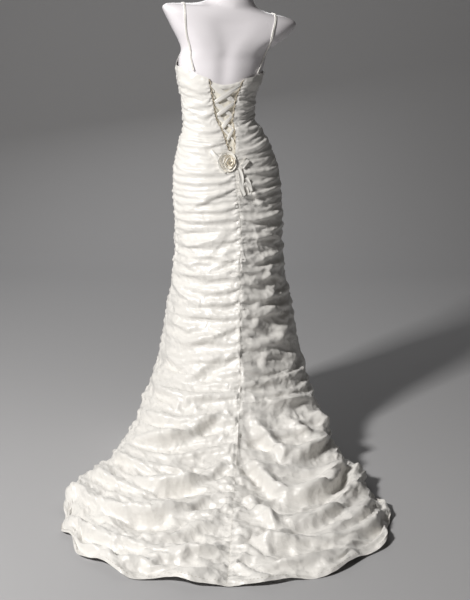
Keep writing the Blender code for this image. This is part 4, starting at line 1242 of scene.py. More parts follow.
@dataclass
class GownPanel:
    """One panel of the gown between two lines down it.

    Attributes:
        panel: Which panel it is.
        first: Angle of its first edge at a distance down.
        last: Angle of its last edge there.
        creases: Its main creases, placed by hand.
        seed: Seed of its unevenness.
        flat: Width and length of the cloth it is cut from.
        flat_area: Area of its cut.
    """
    panel: Panel
    first: Callable[[Array], Array]
    last: Callable[[Array], Array]
    # creases: Its main creases, listed one by one.
    creases: tuple[Crease, ...]
    # flat: Width and length of the cloth it is cut from; not used.
    seed: int
    # flat_area: Area of its cut; not used.
    flat: tuple[float, float]
    flat_area: float

    ROWS = 381                  # one more than a multiple of 4, as are the columns
    COLUMNS = 125
    ROW_STEP = 0.0032           # from one row to the next on the bodice
    ROW_GROWTH = 0.0026         # and how much more it is on the train
    BUNCHING = 0.30             # how far the columns are drawn towards the edges
    SEAM_LIFT = 0.45            # share of a main fold's height at which the cloth crosses a seam
    SEAM_PLEAT = 0.0022         # height of the gathers there
    STITCH_EDGE = 0.0016        # from an edge to its row of stitches
    STITCH_HEM = 0.012
    SMALL_HEIGHT = 0.18         # share of a main fold's height that the small folds have
    SMALL_COUNT = 1.9           # small folds to each main one
    FOLD_POWER = 1.5            # over 1 it moves a fold's crest below its middle; on the bodice
    FOLD_EASE = 0.4             # and how much less it is on the skirt
    FALL_TURN = (40.0, 24.0)    # degrees round, left and right, over which the folds start to fall
    SKIRT_SHARES = (0.8, 0.7)   # of the main folds' height that the skirt's sides and front show
    CALM = 0.7                  # share of their height that the main folds lose at the sides
    GATHER_REACH = 0.030        # how far the fine gathers run out from a seam
    GATHER_HEIGHT = 0.0036
    FACET_STRAY = 0.014         # how far the edges of the facets stray from straight
    KEEL_HEIGHT = 0.026
    KEEL_WIDTH = 0.075
    KEEL_START = (0.34, 0.60)   # distances down between which the ridge along the seam starts
    KEEL_END = (1.45, 1.70)     # and between which it ends
    KEEL_TURN = (50.0, 88.0)    # degrees round between which it ends
    HEM_TURN = (70.0, 100.0)    # degrees round between which the ripples of the hem end
    TRIM_CLEAR = 0.0016         # of the cloth below the middle of a ribbon of the bow
    TRIM_SLOPE = 0.8            # how steeply the cloth may rise beside the flower and the bow
    CREASE_STEPS = 160          # along the curve of a main crease
    CREASE_SHARES = (0.4, 1.6)  # of a crease's height before the cloth settles, and added to it after
    PUCKER_SHARE = 0.8          # of the fine gathers' height, added after it settles
    WEIGHT = 0.000003           # distance that the cloth's weight moves a free point in one step

    def rows_down(self) -> Array:
        """Distances down of the rows, closer together on the bodice than on the train."""
        down = np.linspace(0.0, FULL_LENGTH, 2001)
        density = 1.0 / (self.ROW_STEP + self.ROW_GROWTH * smooth_step(0.25, 0.90, down))
        steps = np.concatenate(([0.0], np.cumsum(0.5 * (density[1:] + density[:-1]))))
        return np.interp(np.linspace(0.0, steps[-1], self.ROWS), steps, down)

    def grid(self) -> tuple[Array, Array]:
        """Angles and distances down of the grid, with columns closer together at the seams."""
        down = self.rows_down()
        share = np.linspace(0.0, 1.0, self.COLUMNS)
        share = share - self.BUNCHING * np.sin(math.tau * share) / math.tau
        start = self.first(down)[:, None]
        end = self.last(down)[:, None]
        angle = start + (end - start) * share[None, :]
        return angle, np.broadcast_to(down[:, None], angle.shape).copy()

    def keel(self, angle: Array, down: Array, base: Array) -> Array:
        """Rise of the skirt towards the centre back seam, whose train draws it backwards."""
        away = np.abs(base[..., 0] - SURFACE.point(np.zeros_like(down), down)[..., 0])
        along = smooth_step(*self.KEEL_START, down) * (1.0 - smooth_step(*self.KEEL_END, down))
        behind = 1.0 - smooth_step(*self.KEEL_TURN, np.abs(wrapped(angle)))
        return self.KEEL_HEIGHT * np.exp(-away / self.KEEL_WIDTH) * along * behind

    def hem_push(self, angle: Array, down: Array) -> Array:
        """How far the hem runs out from its smooth outline, or in, with nothing at the back seam."""
        push = curves(HEM_BUMPS)["push"](wrapped(angle))
        return push * smooth_step(FULL_LENGTH - 0.13, FULL_LENGTH - 0.01, down)

    def hem_lift(self, angle: Array, down: Array) -> Array:
        """Rise of the train's hem where it ripples over the floor."""
        near_hem = smooth_step(FULL_LENGTH - 0.09, FULL_LENGTH, down)
        train = 1.0 - smooth_step(*self.HEM_TURN, np.abs(wrapped(angle)))
        ripple = np.sin(math.pi * angle / HEM_WAVE_SPAN) ** 2
        return near_hem * train * HEM_WAVE * ripple * (0.75 + 0.25 * np.sin(np.radians(5.0 * angle)))

    def uneven(self, name: str, across: Array, down: Array, spacing: Array | float = 1.0) -> Array:
        """Values of one row of UNEVENNESS."""
        row = UNEVENNESS[name]
        return row.middle + row.swing * LatticeNoise(self.seed)(
            across / row.across + row.shift_across, down / (row.down * spacing) + row.shift_down)

    @staticmethod
    def counted(name: str, down: Array) -> Array:
        """How many spacings, given by a column of RUCHING, lie above a distance down the gown."""
        fine = np.linspace(0.0, FULL_LENGTH, 4001)
        return np.interp(down, fine, np.concatenate(
            ([0.0], np.cumsum(np.diff(fine) / GATHERED[name](fine[1:])))))

    def folds(self, angle: Array, down: Array, across: Array) -> tuple[Array, Array]:
        """Heights of the main folds and of the small folds between them.

        A main fold is the share sin(pi * part ** power) ** 0.8 of its height, a broad crest that drops
        more steeply on its lower side; the power is 1.5 on the bodice and 1.1 below it. The phase
        counts spacings down the gown, and noise shifts it so that folds wander and fork.
        """
        height, spacing = GATHERED["height"](down), GATHERED["spacing"](down)
        turn = wrapped(angle)
        fall = np.where(turn > 0.0, GATHERED["fall_left"](down) * smooth_step(0.0, self.FALL_TURN[0], turn),
                        GATHERED["fall_right"](down) * smooth_step(0.0, self.FALL_TURN[1], -turn))
        fall *= (1.0 - 0.6 * smooth_step(45.0, SIDE, np.abs(turn))) * (np.abs(turn) <= SIDE)
        steady = self.counted("spacing", down - fall)
        phase = steady + GATHERED["wander"](down) * (
            self.uneven("wander", across, down, spacing)
            + self.uneven("small wander", across, down, spacing))
        uneven = self.uneven("bodice height", across, down, spacing)
        patchy = np.clip(self.uneven("skirt height", across, down, spacing), 0.0, 1.2)
        uneven = uneven + (patchy - uneven) * smooth_step(0.45, 0.9, down)
        part = np.mod(phase, 1.0) ** (self.FOLD_POWER - self.FOLD_EASE * smooth_step(0.3, 0.8, down))
        folds = height * uneven * np.sin(math.pi * part) ** 0.8
        second = steady * self.SMALL_COUNT + self.uneven("small folds", across, down, spacing)
        small = self.SMALL_HEIGHT * height * np.abs(np.sin(math.pi * second))
        folds *= 1.0 - self.CALM * self.beside(turn) * smooth_step(0.4, 0.8, down)
        shrink = SURFACE.around(angle, np.ones_like(angle), *self.SKIRT_SHARES)
        folds *= 1.0 + (shrink - 1.0) * smooth_step(STRAIGHT_LENGTH - 0.05, STRAIGHT_LENGTH + 0.2, down)
        return folds, small

    def gathers(self, angle: Array, down: Array, base: Array) -> tuple[Array, Array, Array]:
        """Heights of the main folds, of the small ones and of the fine gathers at the seams.

        Towards the seams the folds give way to the fine gathers.
        """
        across = measured_uv(base)[..., 0]
        edge = from_edges(across)
        folds, small = self.folds(angle, down, across)
        phase = self.counted("gather", down - GATHERED["slant"](down) * edge)
        phase = phase + self.uneven("gathers", across, down)
        near = np.exp(-(edge / (self.GATHER_REACH * (1.0 + 0.7 * smooth_step(1.3, 1.5, down)))) ** 2)
        tall = self.GATHER_HEIGHT * (1.0 + 0.8 * smooth_step(1.25, 1.45, down))
        strength = self.uneven("gather height", across, down)
        pucker = tall * strength * np.abs(np.sin(math.pi * phase))
        lower_hem = smooth_step(FULL_LENGTH, FULL_LENGTH - 0.03, down)
        upper_hem = smooth_step(0.0, 0.012, down)
        shown = self.from_seam(edge, down) * (0.3 + 0.7 * lower_hem) * (0.35 + 0.65 * upper_hem)
        settle = smooth_step(-0.3 * self.GATHER_REACH, 1.3 * self.GATHER_REACH, edge) * shown
        return folds * settle, small * settle, pucker * near * shown

    @staticmethod
    def beside(turn: Array) -> Array:
        """Share from 0 to 1 that is highest at the sides, where the side seams hold the cloth calm."""
        return np.exp(-((np.abs(turn) - 80.0) / 26.0) ** 2)

    def seam_lift(self, down: Array) -> Array:
        """Height of the cloth on a seam, the same in both panels: raised, and finely gathered."""
        pleat = np.abs(np.sin(math.pi * down / GATHERED["gather"](down)))
        above_hem = smooth_step(FULL_LENGTH, FULL_LENGTH - 0.03, down)
        return (self.SEAM_LIFT * GATHERED["height"](down) + self.SEAM_PLEAT * pleat) * above_hem

    @staticmethod
    def from_seam(edge: Array, down: Array) -> Array:
        """Share of every fold that shows: none on a seam, so that both panels meet on it."""
        return np.where(down < LACING_FOOT - 0.004, 1.0, smooth_step(0.0, 0.006, edge))

    def crumple(self, down: Array, base: Array, scale: float, height: float) -> Array:
        """Uneven dents of one scale, from nothing on the bodice to their full height on the skirt."""
        noise = LatticeNoise(self.seed + 100)
        place = measured_uv(base) / scale
        return height * noise(place[..., 0], place[..., 1]) * (0.1 + 0.9 * smooth_step(0.3, 0.9, down))

    def crinkle(self, down: Array, base: Array) -> Array:
        """Sharp ridges of crushed cloth.

        Each row of CRINKLES is height * (1 - |noise|) ** 2.4 of noise stretched along its direction,
        shown in patches. Its mean is taken off, so that the cloth stays where it lies.
        """
        noise = LatticeNoise(self.seed + 200)
        place = measured_uv(base)
        lift = np.zeros(down.shape)
        for number, row in enumerate(CRINKLES):
            along, over = leaning(place, row.lean)
            along = along / row.length
            over = over / row.width + 0.2 * noise(place[..., 0] / 0.09 + 5.0 * number,
                                                  place[..., 1] / 0.07)
            ridge = (1.0 - np.abs(noise(along + 19.0 * number, over))) ** 2.4
            patch = noise(along + 7.0, 0.45 * over + 29.0 * number)
            lift += row.height * np.clip(0.25 + 1.4 * patch, 0.0, 1.0) * (ridge - 0.40)
        return lift * grown(CRINKLE_GROWTH, down)

    def facets(self, down: Array, base: Array) -> Array:
        """Crushed facets with crisp edges, strongest on the train and faint on the bodice."""
        noise = LatticeNoise(self.seed + 300)
        place = measured_uv(base)
        stray = self.FACET_STRAY * noise(place[..., 0] / 0.05, place[..., 1] / 0.05)
        lift = np.zeros(down.shape)
        for number, row in enumerate(FACETS):
            cells = CrushedCells(self.seed + 400 + number)
            along, over = leaning(place, row.lean)
            lift += row.height * cells((along + stray) / row.length, (over - stray) / row.width)
        return lift * grown(FACET_GROWTH, down)

    @staticmethod
    def under_trims(base: Array) -> Array:
        """Height up to which the cloth is free: low under the flower and the bow, then rising."""
        trims = [(SURFACE.point(FLOWER_ANGLE, FLOWER_DOWN), 0.0026, 0.026)]
        for guide in BOW_RIBBONS.values():
            path = smooth_path(np.array(guide), 16)
            trims += [(place, offset - GownPanel.TRIM_CLEAR, 0.010)
                      for place, offset in zip(SURFACE.point(path[:, 0], path[:, 1]), path[:, 2])]
        free = np.full(base.shape[:2], 1.0)
        for place, height, reach in trims:
            away = np.linalg.norm(base - place, axis=-1)
            free = np.minimum(free, height + GownPanel.TRIM_SLOPE * np.maximum(away - reach, 0.0))
        return free

    def crease_lift(self, base: Array, down: Array) -> Array:
        """Height that the main creases add.

        A crease is a curve between its ends. Across it the height falls off as
        exp(-(distance / half width) ** 2), with one half width above it and another below. Along it
        the height follows sin(pi * share) ** 0.6.
        """
        lift = np.zeros(base.shape[:2])
        for crease in self.creases:
            start = SURFACE.point(crease.angle, crease.down)
            end = SURFACE.point(crease.end_angle, crease.end_down)
            middle = SURFACE.point(0.5 * (crease.angle + crease.end_angle),
                                   0.5 * (crease.down + crease.end_down) + crease.hang)
            share = np.linspace(0.0, 1.0, self.CREASE_STEPS + 1)
            part = share[:, None]
            curve = (start * (1 - part) ** 2 + (2 * middle - 0.5 * (start + end)) * 2 * part * (1 - part)
                     + end * part ** 2)
            rough = np.linalg.norm(base[:, :, None] - curve[None, None, ::16], axis=-1).min(axis=-1)
            near = rough < 0.03 + 2.4 * max(crease.above, crease.below)
            gap = np.linalg.norm(base[near][:, None] - curve[None], axis=-1)
            place = share[gap.argmin(axis=-1)]
            along = crease.down + (crease.end_down - crease.down) * place
            along = along + crease.hang * np.sin(math.pi * place)
            under = smooth_step(-0.006, 0.006, down[near] - along)
            half = crease.above + (crease.below - crease.above) * under
            lift[near] += (crease.height * np.exp(-(gap.min(axis=-1) / half) ** 2)
                           * np.sin(math.pi * np.clip(place, 0.04, 0.96)) ** 0.6)
        return lift

    def base_grid(self, angle: Array, down: Array) -> tuple[Array, Array]:
        """Points of the panel before it is gathered, with the uneven hem and the keel, and normals."""
        base = SURFACE.point(angle, down)
        base[..., 2] += self.hem_lift(angle, down)
        outward = SURFACE.point(angle, np.full_like(down, FULL_LENGTH)) - SURFACE.point(
            angle, np.full_like(down, FULL_LENGTH - 0.02))
        outward[..., 2] = 0.0
        base += unit(outward) * self.hem_push(angle, down)[..., None]
        normal = SURFACE.normal(angle, down)
        return base + normal * (0.5 * WALL + self.keel(angle, down, base))[..., None], normal

    def build(self, material: bpy.types.Material, thread: bpy.types.Material) -> list[bpy.types.Object]:
        """Make the panel: base grid, gathers and creases, settled cloth, thickness and stitches.

        The cloth settles on three grids, each one finer than the last and starting from its rise.
        Crinkles, facets and the main creases are sharper than the finest one, so they are added
        to the settled cloth.
        """
        angle, down = self.grid()
        base, normal = self.base_grid(angle, down)
        edge = from_edges(measured_uv(base)[..., 0])
        ceiling = GATHERED["ceiling"](down) * (0.35 + 0.65 * smooth_step(0.0, 0.03, edge))
        ceiling = np.minimum(ceiling, self.under_trims(base))
        folds, small, pucker = self.gathers(angle, down, base)
        seam = (1.0 - self.from_seam(edge, down)) * self.seam_lift(down)
        large = smooth_step(0.26, 0.38, down)
        creases = self.crease_lift(base, down)
        before, after = self.CREASE_SHARES
        free = smooth_step(0.0, 0.012, edge)
        layers = (              # stride, share of the slack, steps and what it starts with
            (4, 0.30, 160, (before * creases + self.crumple(down, base, 0.110, 0.006)) * free),
            (2, 0.70, 120, folds * large + self.crumple(down, base, 0.045, 0.002) * free),
            (1, 1.00, 80, folds * (1.0 - large) + small + seam),
        )
        held = np.ones(angle.shape, dtype=bool)
        held[2:-2, 2:-2] = False
        calm = self.beside(wrapped(angle)) * smooth_step(0.4, 0.8, down)
        slack = GATHERED["slack_down"](down) * (1.0 - 0.55 * calm)
        cloth = ClothGrid(base, normal, slack, GATHERED["slack_across"](down), ceiling, held)
        rise = np.zeros_like(base)
        for stride, share, steps, lift in layers:
            level = cloth.coarser(stride, share)
            start = base + rise + normal * np.clip(lift, -0.5 * ceiling, ceiling)[..., None]
            start = start[::stride, ::stride]
            start = level.settle(start, steps, self.WEIGHT)
            rise = refined(start - level.base, stride, angle.shape)
        crisp = (self.crinkle(down, base) + self.facets(down, base) + after * creases) * free
        crisp = crisp * (0.4 + 0.6 * smooth_step(0.0, 0.03, FULL_LENGTH - down))
        crisp = crisp + self.PUCKER_SHARE * pucker
        crisp = crisp * smooth_step(0.002, 0.014, self.under_trims(base))
        points = base + rise + normal * crisp[..., None]
        points[..., 2] = np.maximum(points[..., 2], 0.5 * CLOTH_THICKNESS)
        piece = grid_mesh(f"gown_{self.panel.value}", points, measured_uv(base))
        thicken(piece, CLOTH_THICKNESS, -1.0)
        dress(piece, material, "taffeta", self.panel.value)
        return [piece, self.sew(points, down, thread)]

    def sew(self, points: Array, down: Array, thread: bpy.types.Material) -> bpy.types.Object:
        """Rows of stitches beside both edges and over the hem, on the finished cloth, in a dark thread that
        paints a dotted shade line.
        """
        across = measured_uv(points)[..., 0]
        width = across[:, -1:]
        outward = unit(np.cross(np.gradient(points, axis=1), -np.gradient(points, axis=0)))
        grid = np.concatenate((points, outward), axis=-1)
        rows = []
        for share in (self.STITCH_EDGE / width[:, 0], 1.0 - self.STITCH_EDGE / width[:, 0]):
            rows.append(np.array([at_places(part * run[-1], run, row)
                                  for part, run, row in zip(share, across, grid)]))
        hem = int(np.argmin(np.abs(down[:, 0] - (FULL_LENGTH - self.STITCH_HEM))))
        rows.append(grid[hem])
        return stitches(f"stitching_{self.panel.value}", rows, thread)


def stitches(name: str, rows: Sequence[Array], thread: bpy.types.Material) -> bpy.types.Object:
    """Rows of short stitches, each a spindle that lies on the cloth.

    Args:
        name: Name of the object.
        rows: Points of each row with the cloth's normals, six numbers a point.
        thread: Material of the thread, dark so that the stitches paint a dotted shade line.
    """
    sides, spacing, length, radius = 6, 0.0100, 0.0062, 0.0008
    profile = ((-1.0, 0.0), (-0.8, 0.7), (0.8, 0.7), (1.0, 0.0))    # place along it, and thickness
    corners, faces = [], []
    for row in rows:
        run = run_along(row[:, :3])
        middles = np.arange(0.6 * spacing, run[-1] - 0.6 * spacing, spacing)
        places = [at_places(middles + step, run, row) for step in (-0.5 * length, 0.0, 0.5 * length)]
        along = unit(places[2][:, :3] - places[0][:, :3])
        outward = unit(places[1][:, 3:])
        side = np.cross(along, outward)
        middle = places[1][:, :3] + outward * 0.45 * radius
        for place, ahead, out, beside in zip(middle, along, outward, side):
            first = len(corners)
            for step, share in profile:
                for turn in range(sides):
                    angle = math.tau * turn / sides
                    ring = (out * math.cos(angle) + beside * math.sin(angle)) * radius * share
                    corners.append(place + ahead * 0.5 * length * step + ring)
            for ring in range(first, first + (len(profile) - 1) * sides, sides):
                for turn in range(sides):
                    left, right = ring + turn, ring + (turn + 1) % sides
                    faces.append((left, right, right + sides, left + sides))
    mesh = bpy.data.meshes.new(name)
    mesh.from_pydata(corners, [], faces)
    piece = placed(name, mesh)
    weld(piece)
    dress(piece, thread, "taffeta")
    return piece


def gown_panels() -> list[GownPanel]:
    """The three panels, with their edges at the opening and the seams."""
    def seam(angle: float) -> Callable[[Array], Array]:
        return lambda down: np.full_like(down, angle)

    return [
        GownPanel(Panel.BACK_LEFT, SURFACE.opening_angle, seam(SIDE), LEFT_CREASES, 11,
                  (0.95, 2.05), 0.88),
        GownPanel(Panel.FRONT, seam(SIDE), seam(360.0 - SIDE), FRONT_CREASES, 23, (1.30, 2.00), 1.20),
        GownPanel(Panel.BACK_RIGHT, seam(-SIDE), lambda down: -SURFACE.opening_angle(down),
                  RIGHT_CREASES, 37, (0.95, 2.05), 0.84),
    ]


# ---- Dress form and stand ------------------------------------------------------------------------

@dataclass(frozen=True)
class DressForm:
    """Limbless torso with a neck and plain shoulder ends, on a pole and a round foot.

    Attributes:
        columns: Points round a section.
        between: Steps from one section to the next.
        spine_depth: Depth of the hollow down the middle of the back.
        blade_height: Height of the shoulder blades.
    """
    columns: int = 112
    between: int = 5
    spine_depth: float = 0.0065
    blade_height: float = 0.0055

    SPINE_ANGLE = 4.0           # middle and half width of the hollow, in degrees round
    SPINE_WIDTH = 11.0
    SPINE_FOOT = (1.16, 1.26)   # heights between which it starts
    SPINE_TOP = (1.395, 1.44)   # and ends
    BLADE_ANGLE = 40.0          # middle and half widths of a shoulder blade
    BLADE_WIDTH = 17.0
    BLADE_MIDDLE = 1.345
    BLADE_REACH = 0.042
    DOME = 0.0016               # rise of the neck's end
    SECTION_HEIGHTS = (FORM_BOTTOM, 0.82, 0.89, 0.95, 1.005, 1.04, 1.06, 1.077, 1.093, 1.11, 1.13, 1.155,
                       1.19, 1.23, 1.265, 1.295)

    def sections(self) -> Array:
        """Points of all sections: inside the gown a little within it, above it superellipses."""
        angle = np.linspace(0.0, 360.0, self.columns, endpoint=False)
        rows = []
        for height in self.SECTION_HEIGHTS:
            level = np.full_like(angle, height)
            along = (SURFACE.section_point(angle + SURFACE.HALF_TURN, level)
                     - SURFACE.section_point(angle - SURFACE.HALF_TURN, level))
            outward = unit(np.cross(along, (0.0, 0.0, -1.0)))
            rows.append(SURFACE.section_point(angle, level) - outward * FORM_INSET)
        sine = np.sin(np.radians(angle))
        cosine = np.cos(np.radians(angle))
        turn = math.radians(SECTIONS[0].turn)
        for ring in FORM_RINGS:
            tilt = SHOULDER_TILT * float(smooth_step(TILT_START, TILT_FULL, np.array(ring.height)))
            power = 2.0 / ring.square
            x = ring.half_width * np.sign(sine) * np.abs(sine) ** power
            y = np.where(cosine > 0.0, ring.back, ring.front) * np.sign(cosine) * np.abs(cosine) ** power
            local = x * math.cos(turn) - y * math.sin(turn)
            rows.append(np.stack((local + ring.centre_x, x * math.sin(turn) + y * math.cos(turn),
                                  ring.height + tilt * local), axis=-1))
        return np.array(rows)

    def surface_points(self) -> Array:
        """Sections joined by Catmull-Rom curves, with the back's relief raised along the normals.

        The hollow of the spine falls off as exp(-(distance / half width) ** 2) across the back, and
        each shoulder blade is a round swelling.
        """
        points = catmull_rom(self.sections(), self.between)
        round_step = np.roll(points, -1, axis=1) - np.roll(points, 1, axis=1)
        outward = unit(np.cross(round_step, -np.gradient(points, axis=0)))
        angle = wrapped(np.linspace(0.0, 360.0, self.columns, endpoint=False))[None, :]
        height = points[..., 2]
        hollow = smooth_step(*self.SPINE_FOOT, height) * (1.0 - smooth_step(*self.SPINE_TOP, height))
        relief = (-self.spine_depth * np.exp(-((angle - self.SPINE_ANGLE) / self.SPINE_WIDTH) ** 2)
                  * hollow)
        blades = (np.exp(-((np.abs(angle) - self.BLADE_ANGLE) / self.BLADE_WIDTH) ** 2)
                  * np.exp(-((height - self.BLADE_MIDDLE) / self.BLADE_REACH) ** 2))
        relief += self.blade_height * blades
        return points + outward * relief[..., None]

    def build_torso(self, material: bpy.types.Material) -> bpy.types.Object:
        """Make the torso, with its lower end flat and its neck closed by a low dome."""
        points = self.surface_points()
        lower = points[:1].mean(axis=1, keepdims=True)
        upper = points[-1:].mean(axis=1, keepdims=True)
        dome = np.array((0.0, 0.0, self.DOME))
        caps = [upper + (points[-1:] - upper) * share + dome * (1.0 - share ** 2)
                for share in (0.97, 0.85, 0.5, 0.0)]
        floor = [lower + (points[:1] - lower) * share for share in (0.0, 0.5, 0.93)]
        points = np.concatenate((*floor, points, *caps))[::-1]
        piece = grid_mesh("form_body", points, measured_uv(points), closed=True)
        weld(piece)
        dress(piece, material, "form_gloss", "form_torso")
        return piece

    def finish_stand(self) -> None:
        """Give the pole and the foot, whose solids stay, their finishes."""
        for node, finish in (("form_pole", POLE_STEEL), ("form_foot", FOOT_PAINT)):
            solid = bpy.data.objects[node]
            solid.data.materials.clear()
            solid.data.materials.append(finish.make())


def weld(piece: bpy.types.Object) -> None:
    """Merge the points of a mesh that lie on each other, such as those at a pole."""
    shape = bmesh.new()
    shape.from_mesh(piece.data)
    bmesh.ops.remove_doubles(shape, verts=shape.verts, dist=0.00002)
    shape.to_mesh(piece.data)
    shape.free()
    piece.data.shade_smooth()


# ---- Straps and lacing ---------------------------------------------------------------------------

@dataclass(frozen=True)
class Straps:
    """Thin double straps of turned cord, laid over the form's shoulders."""
    cord_radius: float = 0.0014
    cord_offset: float = 0.0017     # of each cord from the strap's middle line
    clear: float = 0.0004
    rows: int = 120
    sides: int = 10
    ease: float = 0.030             # length over which an end lifts to the bodice's edge
    smoothing: int = 4              # points on each side that a place is averaged with
    twist: float = 0.0003           # how far the cords wind round each other
    twist_length: float = 0.009

    def build(self, torso: bpy.types.Object, material: bpy.types.Material) -> list[bpy.types.Object]:
        """Lay both straps on the torso's surface."""
        corners = [vertex.co for vertex in torso.data.vertices]
        surface = BVHTree.FromPolygons(corners, [face.vertices[:] for face in torso.data.polygons])
        pieces = []
        for name, guide in STRAP_GUIDES.items():
            path = smooth_path(np.array(guide), self.rows)
            hits = [surface.find_nearest(Vector(point)) for point in path]
            place = np.array([hit[0] for hit in hits])
            normal = np.array([hit[1] for hit in hits])
            run = run_along(path)
            from_end = np.minimum(run, run[-1] - run)
            lift = FORM_INSET * (1.0 - smooth_step(0.0, self.ease, from_end))
            centre = place + normal * (self.clear + self.cord_radius + lift)[:, None]
            kernel = np.full(2 * self.smoothing + 1, 1.0 / (2 * self.smoothing + 1))
            padded = np.concatenate((centre[:1].repeat(self.smoothing, axis=0), centre,
                                     centre[-1:].repeat(self.smoothing, axis=0)))
            centre = np.stack([np.convolve(column, kernel, "valid") for column in padded.T], axis=-1)
            across = unit(np.cross(np.gradient(centre, axis=0), normal))
            twist = self.twist * np.sin(run / self.twist_length)[:, None] * normal
            tubes = [tube_points(centre + across * self.cord_offset * way + twist * way, self.cord_radius,
                                 self.sides) for way in (-1.0, 1.0)]
            piece = joined([grid_mesh(f"{name}_cord", tube, measured_uv(tube), closed=True)
                            for tube in tubes], f"gown_{name}")
            dress(piece, material, "satin_ribbon", name)
            pieces.append(piece)
        return pieces


def joined(pieces: Sequence[bpy.types.Object], name: str) -> bpy.types.Object:
    """One object from several meshes, with the ends of open tubes closed."""
    shape = bmesh.new()
    for piece in pieces:
        shape.from_mesh(piece.data)
        mesh = piece.data
        bpy.data.objects.remove(piece)
        bpy.data.meshes.remove(mesh)
    open_edges = [edge for edge in shape.edges if edge.is_boundary]
    bmesh.ops.holes_fill(shape, edges=open_edges, sides=0)
    bmesh.ops.recalc_face_normals(shape, faces=shape.faces)
    mesh = bpy.data.meshes.new(name)
    shape.to_mesh(mesh)
    shape.free()
    mesh.shade_smooth()
    mesh.set_sharp_from_angle(angle=CRISP_EDGE)
    return placed(name, mesh)


@dataclass(frozen=True)
class LacedOpening:
    """Panel behind the opening, the ribbon that laces it and the loops along its edges."""
    panel_grid: tuple[int, int] = (90, 56)      # rows and columns
    panel_thickness: float = 0.0008
    panel_depth: float = 0.0038     # of the panel below the gown's base surface
    sag: float = 0.012
    tuck: float = 0.011
    band: float = 0.017             # height of the soft band along the panel's top edge
    band_lift: float = 0.0022       # how far it stands out
    gather_spacing: float = 0.0055  # of the panel's slanting gathers
    gather_slant: float = 26.0      # gathers counted for each metre across
    gather_height: float = 0.0007
    rough_height: float = 0.0006
    knot_lift: float = 0.0028       # of the tuck a little left of the band's middle
    most_lift: float = 0.0034
    leg_grid: tuple[int, int] = (26, 13)        # along a leg of the ribbon and across it
    ribbon_thickness: float = 0.0004
    ribbon_top: float = 0.0215      # width of the ribbon in the middle of a leg, at the top
    ribbon_foot: float = 0.0095
    ribbon_fold: float = 0.0005     # height of its folds, and of its arch
    ribbon_arch: float = 0.0007
    turn_clear: float = 0.0046
    low: float = 0.0004             # height of the lower layer over the gown's base surface
    high: float = 0.0032
    loop_count: int = 11
    loop_reach: float = 0.0048
    loop_radius: float = 0.0011

    def build_panel(self, lining: bpy.types.Material, satin: bpy.types.Material) -> bpy.types.Object:
        """Panel of lining cloth with slanting gathers, and a soft satin band that sags in the middle.

        The band stands out as sin(pi * share) ** 0.7, and the gathers run aslant.
        """
        rows, columns = self.panel_grid
        side = np.linspace(-1.0, 1.0, columns)[None, :]
        share = np.linspace(0.0, 1.0, rows)[:, None]
        top = 0.001 + self.sag * (1.0 - side ** 2) * (1.0 + 0.25 * side)
        down = top + (LACING_FOOT - 0.006 - top) * share ** 1.1
        angle = side * (SURFACE.opening_angle(down)
                        + np.degrees(self.tuck / SURFACE.half_width(BACK_TOP - down)))
        in_band = np.clip((down - top) / self.band, 0.0, 1.0)
        noise = LatticeNoise(5)
        width = side * 0.05
        lift = self.band_lift * np.sin(math.pi * in_band) ** 0.7 * (in_band < 1.0)
        count = down / self.gather_spacing + self.gather_slant * width + noise(width / 0.02, down / 0.03)
        lift = lift + self.gather_height * np.abs(np.sin(math.pi * count))
        lift = lift + self.rough_height * noise(width / 0.008 + 9.0, down / 0.012 + 3.0)
        knot = np.exp(-(((width - 0.009) / 0.006) ** 2 + ((down - top - 0.009) / 0.005) ** 2))
        lift = np.minimum(lift + self.knot_lift * knot, self.most_lift)
        lift = lift * (1.0 - 0.9 * smooth_step(0.72, 1.0, np.abs(side)))
        lift = (lift - self.panel_depth)[..., None]
        points = SURFACE.point(angle, down) + SURFACE.normal(angle, down) * lift
        piece = grid_mesh("back_panel", points, measured_uv(points))
        banded = (in_band[:-1, :-1] < 1.0).ravel().astype(np.int32)
        dress(piece, lining, "satin_ribbon", "modesty_panel")
        piece.data.materials.append(satin)
        piece.data.polygons.foreach_set("material_index", banded)
        thicken(piece, self.panel_thickness, -1.0)
        return piece

    def strand_points(self, number: int) -> Array:
        """Grid of one ribbon end: rows along it, columns across it.

        Each leg crosses the opening on its own layer, arched between its turns, and the ribbon
        gathers to half its width where it passes through a loop.
        """
        strand = LACE_STRANDS[number]
        share = np.linspace(0.0, 1.0, self.leg_grid[0])
        across = np.linspace(-1.0, 1.0, self.leg_grid[1])[None, :]
        middle = 0.5 * (self.high + self.low)
        legs = []
        for leg, (start, end) in enumerate(zip(strand, strand[1:])):
            layer = self.high if leg % 2 == number else self.low
            down = start.down + (end.down - start.down) * share
            first, last = (
                turn.side * (1.0 - self.turn_clear / float(SURFACE.opening(np.array(turn.down))))
                for turn in (start, end))
            side = first * (1.0 - share) + last * share
            width = self.ribbon_top + (self.ribbon_foot - self.ribbon_top) * down / LACING_FOOT
            width = width * (0.55 + 0.45 * np.sin(math.pi * share) ** 0.6)
            rows = down[:, None] + 0.5 * width[:, None] * across
            angle = (side * SURFACE.opening_angle(down))[:, None] * np.ones_like(across)
            offset = middle + (layer - middle) * np.sin(math.pi * share) ** 0.4
            folds = self.ribbon_fold * np.cos(math.pi * 2.5 * across + 3.0 * share[:, None] + leg)
            arch = self.ribbon_arch * (1.0 - across ** 2)
            height = offset[:, None] + arch + folds * (1.3 - np.sin(math.pi * share)[:, None])
            legs.append(SURFACE.point(angle, rows) + SURFACE.normal(angle, rows) * height[..., None])
        return np.concatenate(legs)

    def build_ribbons(self, material: bpy.types.Material) -> list[bpy.types.Object]:
        """The two ends of the ribbon."""
        pieces = []
        for number in range(len(LACE_STRANDS)):
            points = self.strand_points(number)
            piece = grid_mesh(f"lacing_{number + 1}", points, measured_uv(points))
            thicken(piece, self.ribbon_thickness, 0.0)
            dress(piece, material, "satin_ribbon", f"lace_ribbon_{number + 1}")
            pieces.append(piece)
        return pieces

